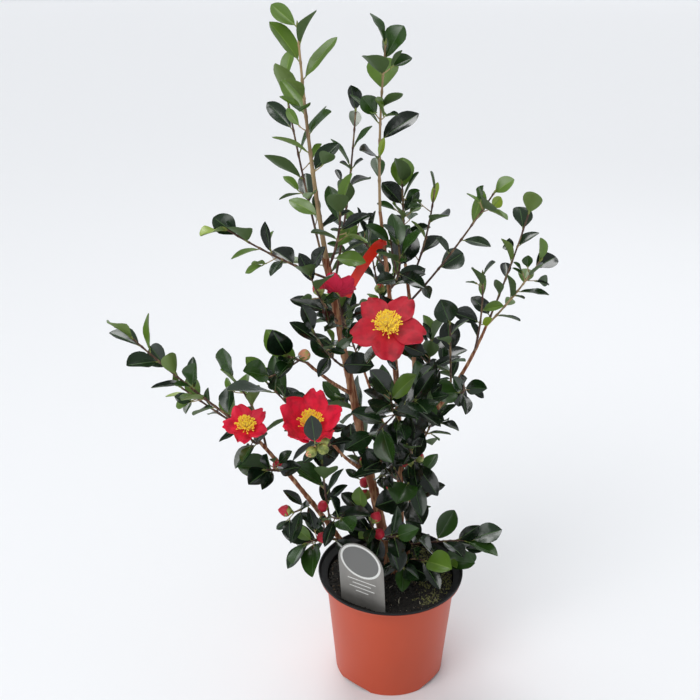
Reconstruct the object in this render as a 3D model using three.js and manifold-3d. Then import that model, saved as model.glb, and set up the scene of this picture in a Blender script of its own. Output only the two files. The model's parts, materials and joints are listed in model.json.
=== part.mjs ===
// A camellia shrub in its nursery pot, in millimetres with +Z up.
// The origin is the centre of the pot's flat underside, and the side with the label faces -Y.
// Bare limbs are single tapering solids. Every leafy shoot grows by one seeded rule into a solid
// of its own: a stem, side twigs, leaves, buds and flowers, fused together.
import * as THREE from 'three';
import { mergeVertices } from 'three/addons/utils/BufferGeometryUtils.js';
import Module from 'manifold-3d';

const wasm = await Module();
wasm.setup();

// ---------------------------------------------------------------- driving dimensions

const GAP = 0.3; // clear distance between pieces that touch
const WELD = 0.02; // corners of a joined solid that lie nearer than this become one
const SEED = 2024;

const POT = {
  height: 150,
  lipRadius: 95,
  lipHeight: 7,
  lipThickness: 2.2,
  wallTopRadius: 85,
  baseRadius: 72.5,
  wall: 1.8,
  sides: 32,
  archCount: 4,
  archTurn: 0.59, // how far the first one stands round, of the space between two
  archWidth: 46,
  archHeight: 5,
  archDepth: 10,
  drainCount: 6,
  drainRadius: 6,
  drainCircle: 42,
};
const SOIL_TOP = 136;

const LABEL = {
  width: 64,
  height: 100,
  stakeWidth: 16,
  stakeLength: 26,
  thickness: 1.2,
  turn: -28,
  lean: 6,
  foot: [-33, -66],
};

const RIBBON = { width: 12, thickness: 1, at: 0.93, tail: [-57, -25, 535], bow: [0, 0, 6] };

const SIDE_BOUGH = [2.2, 1.6]; // radii at the start and at the tip
const BACK_BOUGH = [2.4, 1.6];

// Bare limbs: where each starts, where it ends, how far its middle bows off the straight line,
// and its radius at the start and at the tip. A limb with a foot rises from the soil.
const LIMBS = {
  main_stem: { foot: [2, 14], tip: [-80, -10, 576], bow: [-3, 2, 0], radii: [7.0, 3.6] },
  centre_stem: { foot: [13, 34], tip: [-20, 25, 622], bow: [8, 6, 0], radii: [4.8, 2.1] },
  right_stem: { foot: [20, 54], tip: [11, 82, 542], bow: [13, 3, 0], radii: [4.2, 2.0] },
  left_low_bough: { foot: [-44, 22], tip: [-162, -90, 393], bow: [3, 0, 4], radii: [4.0, 1.9] },
  left_mid_bough: { on: 'main_stem', at: 0.6, tip: [-99, -60, 467], bow: [0, 0, -3], radii: SIDE_BOUGH },
  front_left_bough: { on: 'main_stem', at: 0.35, tip: [-70, -64, 366], bow: [0, -4, -4], radii: SIDE_BOUGH },
  front_bough: { on: 'centre_stem', at: 0.55, tip: [-6, -48, 492], bow: [4, -8, -4], radii: SIDE_BOUGH },
  right_bough: { on: 'right_stem', at: 0.44, tip: [117, 100, 455], bow: [6, 0, -8], radii: [3.0, 1.8] },
  back_left_bough: { on: 'centre_stem', at: 0.3, tip: [-40, 112, 382], bow: [0, 8, -8], radii: BACK_BOUGH },
  back_right_bough: { on: 'right_stem', at: 0.25, tip: [44, 124, 336], bow: [0, 6, -8], radii: BACK_BOUGH },
};
const ROOT_FLARE = 1.5; // a limb's foot is this much wider, over its first few millimetres
const FLARE_HEIGHT = 26;
const STEM_SIDES = 8;
const BOUGH_SIDES = 6;
const STEM_STEP = 60; // length of one straight stretch of a limb or shoot

// Leafy shoots: the limb each leaves, the place along it (1 is its tip), the shoot's tip, the bow
// of its middle, leaves on its stem, side twigs, and the length of a full leaf.
const SHOOTS = [
  ['tall_left_shoot', 'main_stem', 0.86, [-126, 20, 764], [-3, 0, 0], 8, 0, 54],
  ['tall_middle_shoot', 'main_stem', 1, [-103, -50, 826], [-3, 0, 0], 11, 0, 50],
  ['small_dark_shoot', 'main_stem', 0.9, [-51, 79, 726], [3, 4, 0], 8, 0, 41],
  ['upper_left_shoot', 'main_stem', 0.94, [-184, -50, 618], [0, 0, -4], 8, 0, 40],
  ['centre_top_shoot', 'centre_stem', 1, [-16, 0, 806], [-3, 0, 0], 9, 0, 48],
  ['right_top_shoot', 'right_stem', 1, [5, 90, 640], [0, 0, 0], 9, 0, 42],
  ['right_side_shoot', 'right_stem', 0.93, [43, 60, 640], [4, 0, -6], 6, 0, 34],
  ['right_upper_shoot', 'right_stem', 0.88, [106, 0, 650], [0, 0, -6], 7, 0, 38],
  ['right_outer_shoot', 'right_bough', 1, [182, 120, 536], [0, 0, -4], 8, 0, 36],
  ['right_back_shoot', 'right_bough', 0.9, [166, 140, 592], [2, 6, -6], 7, 0, 38],
  ['right_inner_shoot', 'right_bough', 0.8, [106, 70, 533], [3, -4, 0], 6, 0, 36],
  ['right_spur_shoot', 'right_bough', 0.45, [67, 40, 478], [0, -4, -4], 7, 0, 36],
  ['right_low_spur', 'right_bough', 0.6, [83, 40, 388], [4, -6, -6], 6, 0, 36],
  ['left_outer_shoot', 'left_low_bough', 1, [-284, -100, 508], [0, 0, -4], 11, 0, 42],
  ['left_parallel_shoot', 'left_low_bough', 0.96, [-243, -68, 436], [0, 8, -6], 7, 0, 34],
  ['left_flower_shoot', 'left_low_bough', 0.93, [-163, -112, 410], [0, -4, -6], 3, 0, 36],
  ['left_up_shoot', 'left_low_bough', 0.88, [-186, -50, 440], [4, 8, 0], 6, 0, 42],
  ['left_drooping_shoot', 'left_low_bough', 0.72, [-144, -104, 352], [0, -6, 4], 7, 0, 42],
  ['left_under_shoot', 'left_low_bough', 0.5, [-116, -84, 284], [0, -4, 0], 7, 0, 40],
  ['left_foot_shoot', 'left_low_bough', 0.2, [-104, -62, 226], [0, -6, 8], 9, 1, 44],
  ['left_upright_shoot', 'left_low_bough', 0.28, [-84, -50, 331], [0, -10, -4], 9, 1, 48],
  ['front_left_flower_shoot', 'front_left_bough', 1, [-90, -116, 416], [0, -6, -6], 4, 0, 44],
  ['front_left_side_shoot', 'front_left_bough', 0.9, [-140, -92, 455], [0, 6, -6], 7, 0, 54],
  ['left_mid_shoot', 'left_mid_bough', 1, [-118, -82, 484], [0, 0, 0], 8, 1, 44],
  ['trunk_top_spur', 'main_stem', 0.82, [-92, -68, 571], [0, -8, -4], 8, 0, 42],
  ['trunk_flower_shoot', 'main_stem', 0.76, [-66, -42, 545], [4, -4, -4], 4, 0, 38],
  ['trunk_crown_spur', 'main_stem', 0.97, [-62, -34, 640], [4, -4, 0], 7, 0, 42],
  ['trunk_left_spur', 'main_stem', 0.68, [-90, -66, 506], [0, -6, -4], 7, 0, 44],
  ['centre_left_spur', 'centre_stem', 0.86, [-54, 62, 594], [0, 6, -4], 7, 1, 40],
  ['centre_right_spur', 'centre_stem', 0.8, [2, -6, 592], [6, -4, -4], 8, 1, 44],
  ['front_flower_shoot', 'front_bough', 1, [-8, -106, 530], [0, -6, -6], 5, 0, 46],
  ['front_low_spur', 'centre_stem', 0.46, [-4, -62, 430], [0, -6, -8], 9, 2, 50],
  ['right_front_spur', 'right_stem', 0.5, [26, -4, 410], [4, -4, -8], 9, 2, 46],
  ['right_middle_spur', 'right_stem', 0.34, [18, -26, 346], [4, -4, -8], 9, 1, 46],
  ['right_under_spur', 'right_stem', 0.2, [10, -18, 286], [4, -4, -6], 9, 1, 50],
  ['centre_low_spur', 'centre_stem', 0.26, [-16, -42, 338], [0, -4, -6], 9, 1, 52],
  ['right_foot_shoot', 'right_stem', 0.03, [104, 18, 184], [0, -4, 4], 8, 1, 48],
  ['front_foot_shoot', 'centre_stem', 0.03, [17, -24, 168], [0, -4, 4], 7, 1, 46],
  ['trunk_foot_shoot', 'main_stem', 0.12, [-26, -44, 250], [0, -8, -4], 8, 2, 50],
  ['trunk_bud_spur', 'main_stem', 0.24, [-52, 34, 306], [0, 8, -4], 4, 0, 36],
  ['back_left_shoot', 'back_left_bough', 1, [-76, 152, 462], [0, 4, -6], 10, 2, 46],
  ['back_left_spur', 'back_left_bough', 0.55, [-70, 118, 330], [0, 4, -4], 8, 1, 46],
  ['back_high_shoot', 'centre_stem', 0.62, [-34, 120, 552], [0, 6, -8], 9, 1, 44],
  ['back_right_shoot', 'back_right_bough', 1, [50, 166, 412], [0, 4, -6], 10, 2, 42],
  ['back_right_spur', 'back_right_bough', 0.5, [58, 124, 316], [0, 4, -6], 8, 1, 42],
  ['back_foot_shoot', 'right_stem', 0.08, [10, 132, 236], [0, 6, -6], 8, 1, 46],
];
const SHOOT_RADII = [1.8, 1.1]; // one that carries a limb on starts as thick as the limb ends
const TWIG = {
  radii: [1.3, 1.0],
  length: [37.4, 13.2], // the least, and how much more it may be
  from: 0.3, // twigs leave the shoot from here on
  over: 0.45, // and within this much of it
  slant: [0.72, 0.66], // how far it runs along the shoot and out from it, of its length
  bow: 3,
  leaves: 4,
  firstLeaf: 0.4,
};

// Flowers: the shoot whose tip each one ends, the way it faces, its petal length, how far its
// petals rise from flat, and how far its first petal is turned from level, both in degrees.
const FLOWERS = [
  { shoot: 'front_flower_shoot', faces: [0, -0.66, 0.75], petal: 43, cup: 12, turn: -16 },
  { shoot: 'front_left_flower_shoot', faces: [0.05, -0.56, 0.83], petal: 44, cup: 48, turn: 6 },
  { shoot: 'left_flower_shoot', faces: [0.1, -0.5, 0.86], petal: 28, cup: 30, turn: -36 },
  { shoot: 'trunk_flower_shoot', faces: [0.1, 0.8, 0.6], petal: 26, cup: 44, turn: 0 },
];
const PETALS = 5;
const PETAL = { width: 0.86, arch: 0.1, fold: 0.1 }; // of its length
const FLOWER = { half: 0.6, cleft: 0.62 }; // half its thickness, and how deep it is cleft

// Buds sit beside the stem: [shoot, place along it].
const BUDS = [
  ['front_left_flower_shoot', 0.18], ['front_left_flower_shoot', 0.6], ['left_mid_shoot', 0.17],
  ['trunk_top_spur', 0.66], ['left_drooping_shoot', 0.15], ['left_upright_shoot', 0.5],
  ['left_under_shoot', 0.95], ['left_foot_shoot', 0.59], ['trunk_bud_spur', 0.12],
  ['trunk_bud_spur', 0.3], ['trunk_bud_spur', 0.63], ['trunk_foot_shoot', 0.64],
  ['trunk_foot_shoot', 0.89], ['right_under_spur', 0.95], ['right_middle_spur', 0.1],
  ['right_middle_spur', 0.62], ['front_flower_shoot', 0.3], ['back_left_shoot', 0.5],
  ['back_high_shoot', 0.6],
];
const BUD = { length: 18, radius: 7.6, stalk: 2.5, sides: 5 };

const LEAF = {
  petiole: 0.1, // of the length
  size: [0.8, 0.36], // of the shoot's full leaf: the least, and how much more it may be
  endSize: 0.86, // and the leaf at a twig's end, of that
  width: [0.38, 0.38], // of the length: the least, and how much more it may be
  tipWidth: 1.3, // and how much wider the leaves near a tip are, from this place on
  tipFrom: 0.85,
  widest: 1.08, // above 1, a leaf is widest beyond its middle
  fullness: 0.66, // below 1, its outline is fuller than a sine's
  arch: [0.06, 0.14],
  lean: 20, // how much the angle from its twig may vary, in degrees
  turn: 70, // and the turn about its own length
  fold: 0.16,
  keel: 0.7, // how far its keel lies under the blade's middle surface
  sunk: 0.6, // how far past the twig's centre line its root lies
  stations: [0.36, 0.54, 0.76], // lower shoulder, middle, upper shoulder
};
const GOLDEN_ANGLE = 137.5;
const FIRST_LEAF = 0.2;
const LAST_UNDER_FLOWER = 0.8;
const SPREAD = [66, 24]; // a leaf's angle from its twig, at the first leaf and near the tip
const LIGHT = [0, -0.35, 0.9]; // the way the leaves' upper sides turn
const TRIES = 8;
const SWING = 28; // each try turns the leaf about its twig this much further
const SHRINK = 0.04; // and makes it this much smaller
const CLEAR_OF_LEAF = 6.6; // least distance between sampled points of two shoots' leaves
const CLEAR_IN_SHOOT = 4.6;
const CLEAR_OF_TWIG = 4.6; // and from a leaf's points to a twig's or limb's surface
const CLEAR_OF_SOIL = 3;
const CLEAR_OF_WALL = 6;

// ---------------------------------------------------------------- small helpers

const degrees = THREE.MathUtils.degToRad;
const vec = (xyz) => new THREE.Vector3(...xyz);

function seeded(seed) {
  let state = seed >>> 0;
  return () => {
    state = (state + 0x6d2b79f5) >>> 0;
    let word = Math.imul(state ^ (state >>> 15), state | 1);
    word ^= word + Math.imul(word ^ (word >>> 7), word | 61);
    return ((word ^ (word >>> 14)) >>> 0) / 4294967296;
  };
}

function solidOf(points, faces) {
  const vertProperties = new Float32Array(points.flatMap((p) => [p.x, p.y, p.z]));
  const triVerts = new Uint32Array(faces.flat());
  return new wasm.Manifold(new wasm.Mesh({ numProp: 3, vertProperties, triVerts }));
}

function solidFromGeometry(geometry) {
  const bare = new THREE.BufferGeometry();
  bare.setAttribute('position', geometry.getAttribute('position'));
  bare.setIndex(geometry.getIndex());
  const merged = mergeVertices(bare, 1e-4);
  return new wasm.Manifold(new wasm.Mesh({
    numProp: 3,
    vertProperties: new Float32Array(merged.getAttribute('position').array),
    triVerts: new Uint32Array(merged.getIndex().array),
  }));
}

function meshOf(name, solid, material) {
  const { vertProperties, triVerts, numProp } = solid.getMesh();
  const geometry = new THREE.BufferGeometry();
  geometry.setAttribute('position', new THREE.BufferAttribute(vertProperties, numProp));
  geometry.setIndex(new THREE.BufferAttribute(triVerts, 1));
  geometry.computeVertexNormals();
  const mesh = new THREE.Mesh(geometry, material);
  mesh.name = name;
  return mesh;
}

const largestBody = (solid) =>
  solid.decompose().reduce((best, body) => (body.volume() > best.volume() ? body : best));

// ---------------------------------------------------------------- limbs and twigs

// A limb's centre line: a quadratic curve whose middle lies `bow` off the straight line.
function centreLine(start, tip, bow) {
  const control = start.clone().add(tip).multiplyScalar(0.5).addScaledVector(bow, 2);
  return { start, control, tip, length: start.distanceTo(tip) };
}

function pointOn(line, t) {
  return line.start.clone().multiplyScalar((1 - t) * (1 - t))
    .addScaledVector(line.control, 2 * t * (1 - t))
    .addScaledVector(line.tip, t * t);
}

function headingOn(line, t) {
  return line.control.clone().sub(line.start).multiplyScalar(1 - t)
    .addScaledVector(line.tip.clone().sub(line.control), t)
    .normalize();
}

// Two directions square to a heading: one level, one as near to upright as it can be.
function frameAcross(heading) {
  const level = new THREE.Vector3(-heading.y, heading.x, 0);
  if (level.length() < 0.05) level.set(1, 0, 0);
  level.normalize();
  return { level, rising: new THREE.Vector3().crossVectors(heading, level).normalize() };
}

function outwardFrom(heading, roll) {
  const { level, rising } = frameAcross(heading);
  return level.multiplyScalar(Math.cos(roll)).addScaledVector(rising, Math.sin(roll));
}

// A closed tube along a centre line, with flat ends. Its sides run straight, without a twist,
// and a limb that rises from the soil has a level foot.
function tube(line, radiusAt, sides, steps, { grow = 0, levelFoot = false } = {}) {
  const points = [];
  const faces = [];
  const guide = frameAcross(headingOn(line, 0.5)).level;
  for (let step = 0; step <= steps; step += 1) {
    const t = step / steps;
    const heading = headingOn(line, t);
    const level = guide.clone().addScaledVector(heading, -guide.dot(heading)).normalize();
    const rising = new THREE.Vector3().crossVectors(heading, level);
    const centre = pointOn(line, t);
    if (step === 0) centre.addScaledVector(heading, -grow);
    if (step === steps) centre.addScaledVector(heading, grow);
    for (let side = 0; side < sides; side += 1) {
      const turn = (side / sides) * 2 * Math.PI;
      const out = level.clone().multiplyScalar(Math.cos(turn)).addScaledVector(rising, Math.sin(turn));
      if (levelFoot && step === 0) out.setZ(0).normalize();
      points.push(centre.clone().addScaledVector(out, radiusAt(t) + grow));
    }
  }
  for (let step = 0; step < steps; step += 1) {
    for (let side = 0; side < sides; side += 1) {
      const here = step * sides + side;
      const beside = step * sides + ((side + 1) % sides);
      faces.push([here, beside, here + sides], [beside, beside + sides, here + sides]);
    }
  }
  const last = steps * sides;
  for (let side = 1; side < sides - 1; side += 1) {
    faces.push([0, side + 1, side], [last, last + side, last + side + 1]);
  }
  return solidOf(points, faces);
}

const tapering = ([atStart, atTip]) => (t) => atStart + (atTip - atStart) * t;

function buildLimbs() {
  const limbs = {};
  for (const [name, row] of Object.entries(LIMBS)) {
    const parent = limbs[row.on];
    const start = parent ? pointOn(parent.line, row.at) : vec([...row.foot, SOIL_TOP + GAP]);
    const line = centreLine(start, vec(row.tip), vec(row.bow));
    const taper = tapering(row.radii);
    const flare = (t) => Math.max(0, 1 - (t * line.length) / FLARE_HEIGHT) ** 2;
    const radiusAt = parent ? taper : (t) => taper(t) * (1 + (ROOT_FLARE - 1) * flare(t));
    limbs[name] = { line, radiusAt, parent, steps: Math.max(3, Math.round(line.length / STEM_STEP)) };
  }
  return limbs;
}

function limbSolid(limb, grow = 0) {
  const levelFoot = !limb.parent;
  const sides = levelFoot ? STEM_SIDES : BOUGH_SIDES;
  return tube(limb.line, limb.radiusAt, sides, limb.steps, { grow, levelFoot });
}

// ---------------------------------------------------------------- what stands among the leaves

// The label's own plane: x across it, y up it, z through it.
function labelPlace() {
  const place = new THREE.Matrix4().makeTranslation(...LABEL.foot, SOIL_TOP);
  place.multiply(new THREE.Matrix4().makeRotationZ(degrees(LABEL.turn)));
  return place.multiply(new THREE.Matrix4().makeRotationX(Math.PI / 2 + degrees(LABEL.lean)));
}

function labelSamples() {
  const points = [];
  const place = labelPlace();
  for (let x = -LABEL.width / 2; x <= LABEL.width / 2; x += 4) {
    for (let y = 0; y <= LABEL.height; y += 4) points.push(vec([x, y, 0]).applyMatrix4(place));
  }
  return points;
}

// The ribbon's tail, from its knot on the stem.
function ribbonLine(limb) {
  const knot = pointOn(limb.line, RIBBON.at);
  const end = vec(RIBBON.tail);
  const out = end.clone().sub(knot).normalize();
  const start = knot.addScaledVector(out, limb.radiusAt(RIBBON.at) + GAP + RIBBON.thickness / 2);
  return centreLine(start, end, vec(RIBBON.bow));
}

// ---------------------------------------------------------------- how the shoots grow

// A blade's half width at u, from its root (0) to its tip (1).
function leafHalfWidth(leaf, u) {
  const v = Math.max(0, (u - LEAF.petiole) / (1 - LEAF.petiole));
  return 0.5 * leaf.width * Math.sin(Math.PI * v ** LEAF.widest) ** LEAF.fullness;
}

function petalHalfWidth(petal, u) {
  return 0.5 * petal.width * Math.sin(Math.PI * Math.min(1, 0.06 + 0.72 * u)) ** 0.8;
}

// A point on a blade: u along it, s across it from -1 to 1, and `lift` off its middle surface.
function bladePoint(blade, u, s, lift = 0) {
  const half = blade.halfWidth(blade, u);
  const rise = blade.fold * Math.abs(s) * half - blade.arch * blade.length * u * u + lift;
  return blade.root.clone()
    .addScaledVector(blade.along, blade.length * u)
    .addScaledVector(blade.across, s * half)
    .addScaledVector(blade.facing, rise);
}

const SAMPLE_U = [0.16, 0.28, 0.4, 0.52, 0.64, 0.76, 0.88, 0.99];
const SAMPLE_S = [-0.92, -0.46, 0, 0.46, 0.92];
const samplesOf = (blade) =>
  SAMPLE_U.flatMap((u) => SAMPLE_S.map((s) => bladePoint(blade, u, s)));

// Spaces already taken: sampled points with an owner and a radius.
function twigSamples(line, radiusAt) {
  const count = Math.max(2, Math.round(line.length / 5));
  return Array.from({ length: count + 1 }, (_, i) => {
    const t = i / count;
    return { point: pointOn(line, t), radius: radiusAt(t) };
  });
}

function inPotOrSoil(point) {
  const beyondWall = Math.hypot(point.x, point.y) > POT.wallTopRadius - CLEAR_OF_WALL;
  return point.z < SOIL_TOP + CLEAR_OF_SOIL || (point.z < POT.height && beyondWall);
}

function clearOfTwigs(points, taken, owner) {
  for (const twig of taken) {
    if (twig.owner === owner) continue;
    const reach = twig.radius + CLEAR_OF_TWIG;
    if (points.some((p) => p.distanceToSquared(twig.point) < reach * reach)) return false;
  }
  return true;
}

function clearOfBlades(blade, points, blades) {
  const middle = bladePoint(blade, 0.5, 0);
  for (const other of blades) {
    if (middle.distanceTo(other.middle) > 0.55 * (blade.length + other.blade.length) + 8) continue;
    const own = other.owner === blade.owner;
    const clear = own ? CLEAR_IN_SHOOT : CLEAR_OF_LEAF;
    const skip = own ? 2 * SAMPLE_S.length : 0; // leaves of one shoot may crowd at their roots
    for (let i = skip; i < points.length; i += 1) {
      for (let j = skip; j < other.points.length; j += 1) {
        if (points[i].distanceToSquared(other.points[j]) < clear * clear) return false;
      }
    }
  }
  return true;
}

function layBlade(root, along, facing, length, width, arch, fold, halfWidth, owner) {
  const across = new THREE.Vector3().crossVectors(along, facing).normalize();
  const square = new THREE.Vector3().crossVectors(across, along).normalize();
  return { root, along, across, facing: square, length, width, arch, fold, halfWidth, owner };
}

// One leaf on a twig: it leaves at an angle, turns its upper side to the light, and is skipped
// where no turn of it keeps clear of what has grown before.
function growLeaf(shoot, line, t, order, nearTip, random, grown) {
  const root = pointOn(line, t);
  const heading = headingOn(line, t);
  const share = LEAF.size[0] + LEAF.size[1] * random();
  const size = shoot.leaf * share * (nearTip > 0.99 ? LEAF.endSize : 1);
  const fuller = nearTip > LEAF.tipFrom ? LEAF.tipWidth : 1;
  const width = size * fuller * (LEAF.width[0] + LEAF.width[1] * random() ** 2);
  const arch = LEAF.arch[0] + LEAF.arch[1] * random();
  const lean = (random() - 0.5) * LEAF.lean;
  const turn = (random() - 0.5) * LEAF.turn;
  const spread = degrees(SPREAD[0] + (SPREAD[1] - SPREAD[0]) * nearTip + lean);
  for (let attempt = 0; attempt < TRIES; attempt += 1) {
    const swing = (attempt % 2 ? 1 : -1) * Math.ceil(attempt / 2) * SWING;
    const roll = degrees(shoot.spin + order * GOLDEN_ANGLE + swing);
    const out = outwardFrom(heading, roll);
    const along = heading.clone().multiplyScalar(Math.cos(spread))
      .addScaledVector(out, Math.sin(spread)).normalize();
    const facing = vec(LIGHT).addScaledVector(heading, 0.5).addScaledVector(out, -0.25);
    facing.addScaledVector(along, -facing.dot(along)).normalize();
    const tilted = facing.clone().applyAxisAngle(along, degrees(turn));
    const shrink = 1 - SHRINK * attempt;
    const leaf = layBlade(root, along, tilted, size * shrink, width * shrink, arch, LEAF.fold,
      leafHalfWidth, shoot.name);
    const points = samplesOf(leaf);
    if (points.some(inPotOrSoil)) continue;
    if (!clearOfTwigs(points, grown.twigs, shoot.name)) continue;
    if (!clearOfBlades(leaf, points, grown.blades)) continue;
    grown.blades.push({ blade: leaf, owner: shoot.name, points, middle: bladePoint(leaf, 0.5, 0) });
    shoot.blades.push(leaf);
    return;
  }
}

function growTwigs(shoot, random) {
  for (let twig = 0; twig < shoot.twigCount; twig += 1) {
    const t = TWIG.from + (TWIG.over * (twig + 0.6 * random())) / shoot.twigCount;
    const heading = headingOn(shoot.line, t);
    const out = outwardFrom(heading, degrees(shoot.spin + 90 + twig * GOLDEN_ANGLE));
    const start = pointOn(shoot.line, t);
    const length = TWIG.length[0] + TWIG.length[1] * random();
    const tip = start.clone().addScaledVector(heading, TWIG.slant[0] * length)
      .addScaledVector(out, TWIG.slant[1] * length);
    shoot.twigs.push({ line: centreLine(start, tip, out.multiplyScalar(TWIG.bow)) });
  }
}

function growFlower(shoot, flower, grown) {
  const facing = vec(flower.faces).normalize();
  const centre = pointOn(shoot.line, 1);
  const cup = degrees(flower.cup);
  for (let petal = 0; petal < PETALS; petal += 1) {
    const out = outwardFrom(facing, degrees(flower.turn + (petal * 360) / PETALS));
    const along = out.clone().multiplyScalar(Math.cos(cup)).addScaledVector(facing, Math.sin(cup));
    const inner = facing.clone().multiplyScalar(Math.cos(cup)).addScaledVector(out, -Math.sin(cup));
    const blade = layBlade(centre.clone(), along, inner, flower.petal,
      flower.petal * PETAL.width, PETAL.arch, PETAL.fold, petalHalfWidth, shoot.name);
    const points = samplesOf(blade);
    grown.blades.push({ blade, owner: shoot.name, points, middle: bladePoint(blade, 0.5, 0) });
  }
  shoot.flower = { centre, facing, size: flower.petal, cup, turn: degrees(flower.turn) };
}

function growBud(shoot, place, grown) {
  const heading = headingOn(shoot.line, place);
  const out = outwardFrom(heading, degrees(shoot.spin + 200 + place * 360));
  const root = pointOn(shoot.line, place);
  const along = out.clone().multiplyScalar(0.8).addScaledVector(heading, 0.6).normalize();
  for (const step of [0.4, 0.9, 1.3]) {
    const point = root.clone().addScaledVector(along, step * BUD.length);
    grown.twigs.push({ owner: `${shoot.name} bud`, point, radius: BUD.radius * 0.7 });
  }
  shoot.buds.push({ root, along });
}

function growShoots(limbs) {
  const grown = { twigs: [], blades: [] };
  const claim = (owner, line, radiusAt) =>
    twigSamples(line, radiusAt).forEach((sample) => grown.twigs.push({ owner, ...sample }));
  for (const [name, limb] of Object.entries(limbs)) claim(name, limb.line, limb.radiusAt);
  labelSamples().forEach((point) => grown.twigs.push({ owner: 'label', point, radius: 0 }));
  const ribbon = ribbonLine(limbs.centre_stem);
  claim('red_ribbon', ribbon, () => RIBBON.width / 2);
  const shoots = SHOOTS.map(([name, on, at, tip, bow, leafCount, twigCount, leaf], index) => {
    const random = seeded(SEED + 97 * index);
    const start = pointOn(limbs[on].line, at);
    const line = centreLine(start, vec(tip), vec(bow));
    const radii = at < 1 ? SHOOT_RADII : [limbs[on].radiusAt(1), SHOOT_RADII[1]];
    const shoot = { name, limb: limbs[on], line, radii, leafCount, twigCount, leaf, random,
      spin: 360 * random(), twigs: [], blades: [], buds: [], flower: null };
    growTwigs(shoot, random);
    claim(name, line, tapering(radii));
    shoot.twigs.forEach((twig) => claim(name, twig.line, tapering(TWIG.radii)));
    return shoot;
  });
  const called = (name) => shoots.find((shoot) => shoot.name === name);
  FLOWERS.forEach((flower) => growFlower(called(flower.shoot), flower, grown));
  BUDS.forEach(([name, place]) => growBud(called(name), place, grown));
  for (const shoot of shoots) {
    const last = shoot.flower ? LAST_UNDER_FLOWER : 1;
    for (let order = 0; order < shoot.leafCount; order += 1) {
      const share = order / (shoot.leafCount - 1);
      const t = FIRST_LEAF + (last - FIRST_LEAF) * share ** 0.85;
      growLeaf(shoot, shoot.line, t, order, share, shoot.random, grown);
    }
    for (const twig of shoot.twigs) {
      for (let order = 0; order < TWIG.leaves; order += 1) {
        const share = order / (TWIG.leaves - 1);
        const t = TWIG.firstLeaf + (1 - TWIG.firstLeaf) * share;
        growLeaf(shoot, twig.line, t, order, share, shoot.random, grown);
      }
    }
  }
  return shoots;
}

// ---------------------------------------------------------------- solids of a shoot

// A thin closed blade: its root inside the twig, two shoulders each side, a tip, and a keel below.
function leafSolid(leaf) {
  const [lower, middle, upper] = LEAF.stations;
  const points = [
    leaf.root.clone().addScaledVector(leaf.along, -LEAF.sunk),
    bladePoint(leaf, lower, -1), bladePoint(leaf, upper, -1), bladePoint(leaf, 1, 0),
    bladePoint(leaf, upper, 1), bladePoint(leaf, lower, 1), bladePoint(leaf, middle, 0, -LEAF.keel),
  ];
  const [root, lowLeft, highLeft, tip, highRight, lowRight, keel] = points.keys();
  const rim = [root, lowLeft, highLeft, tip, highRight, lowRight];
  const underSide = rim.map((corner, i) => [corner, rim[(i + 1) % rim.length], keel]);
  const upperSide = [
    [root, lowRight, lowLeft], [lowLeft, lowRight, highRight],
    [lowLeft, highRight, highLeft], [highLeft, highRight, tip],
  ];
  return outward(points, [...upperSide, ...underSide]);
}

// The same faces, wound so that they point out.
function outward(points, faces) {
  const solid = solidOf(points, faces);
  return solid.volume() > 0 ? solid : solidOf(points, faces.map(([a, b, c]) => [a, c, b]));
}

// A closed solid of revolution about a direction, with a point at each end.
function spindle(root, along, rings, ends, sides) {
  const points = [root.clone().addScaledVector(along, ends[0])];
  const faces = [];
  for (const [height, radius] of rings) {
    for (let side = 0; side < sides; side += 1) {
      const out = outwardFrom(along, (side / sides) * 2 * Math.PI);
      points.push(root.clone().addScaledVector(along, height).addScaledVector(out, radius));
    }
  }
  points.push(root.clone().addScaledVector(along, ends[1]));
  const tip = points.length - 1;
  for (let side = 0; side < sides; side += 1) {
    const next = (side + 1) % sides;
    faces.push([0, 1 + next, 1 + side]);
    for (let ring = 0; ring < rings.length - 1; ring += 1) {
      const low = 1 + ring * sides;
      const high = low + sides;
      faces.push([low + side, low + next, high + side], [low + next, high + next, high + side]);
    }
    const top = 1 + (rings.length - 1) * sides;
    faces.push([tip, top + side, top + next]);
  }
  return outward(points, faces);
}

function budSolid(bud) {
  const { length, radius, stalk } = BUD;
  const rings = [[stalk + 0.3 * length, radius], [stalk + 0.7 * length, 0.8 * radius]];
  return spindle(bud.root, bud.along, rings, [0, stalk + length], BUD.sides);
}

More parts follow.
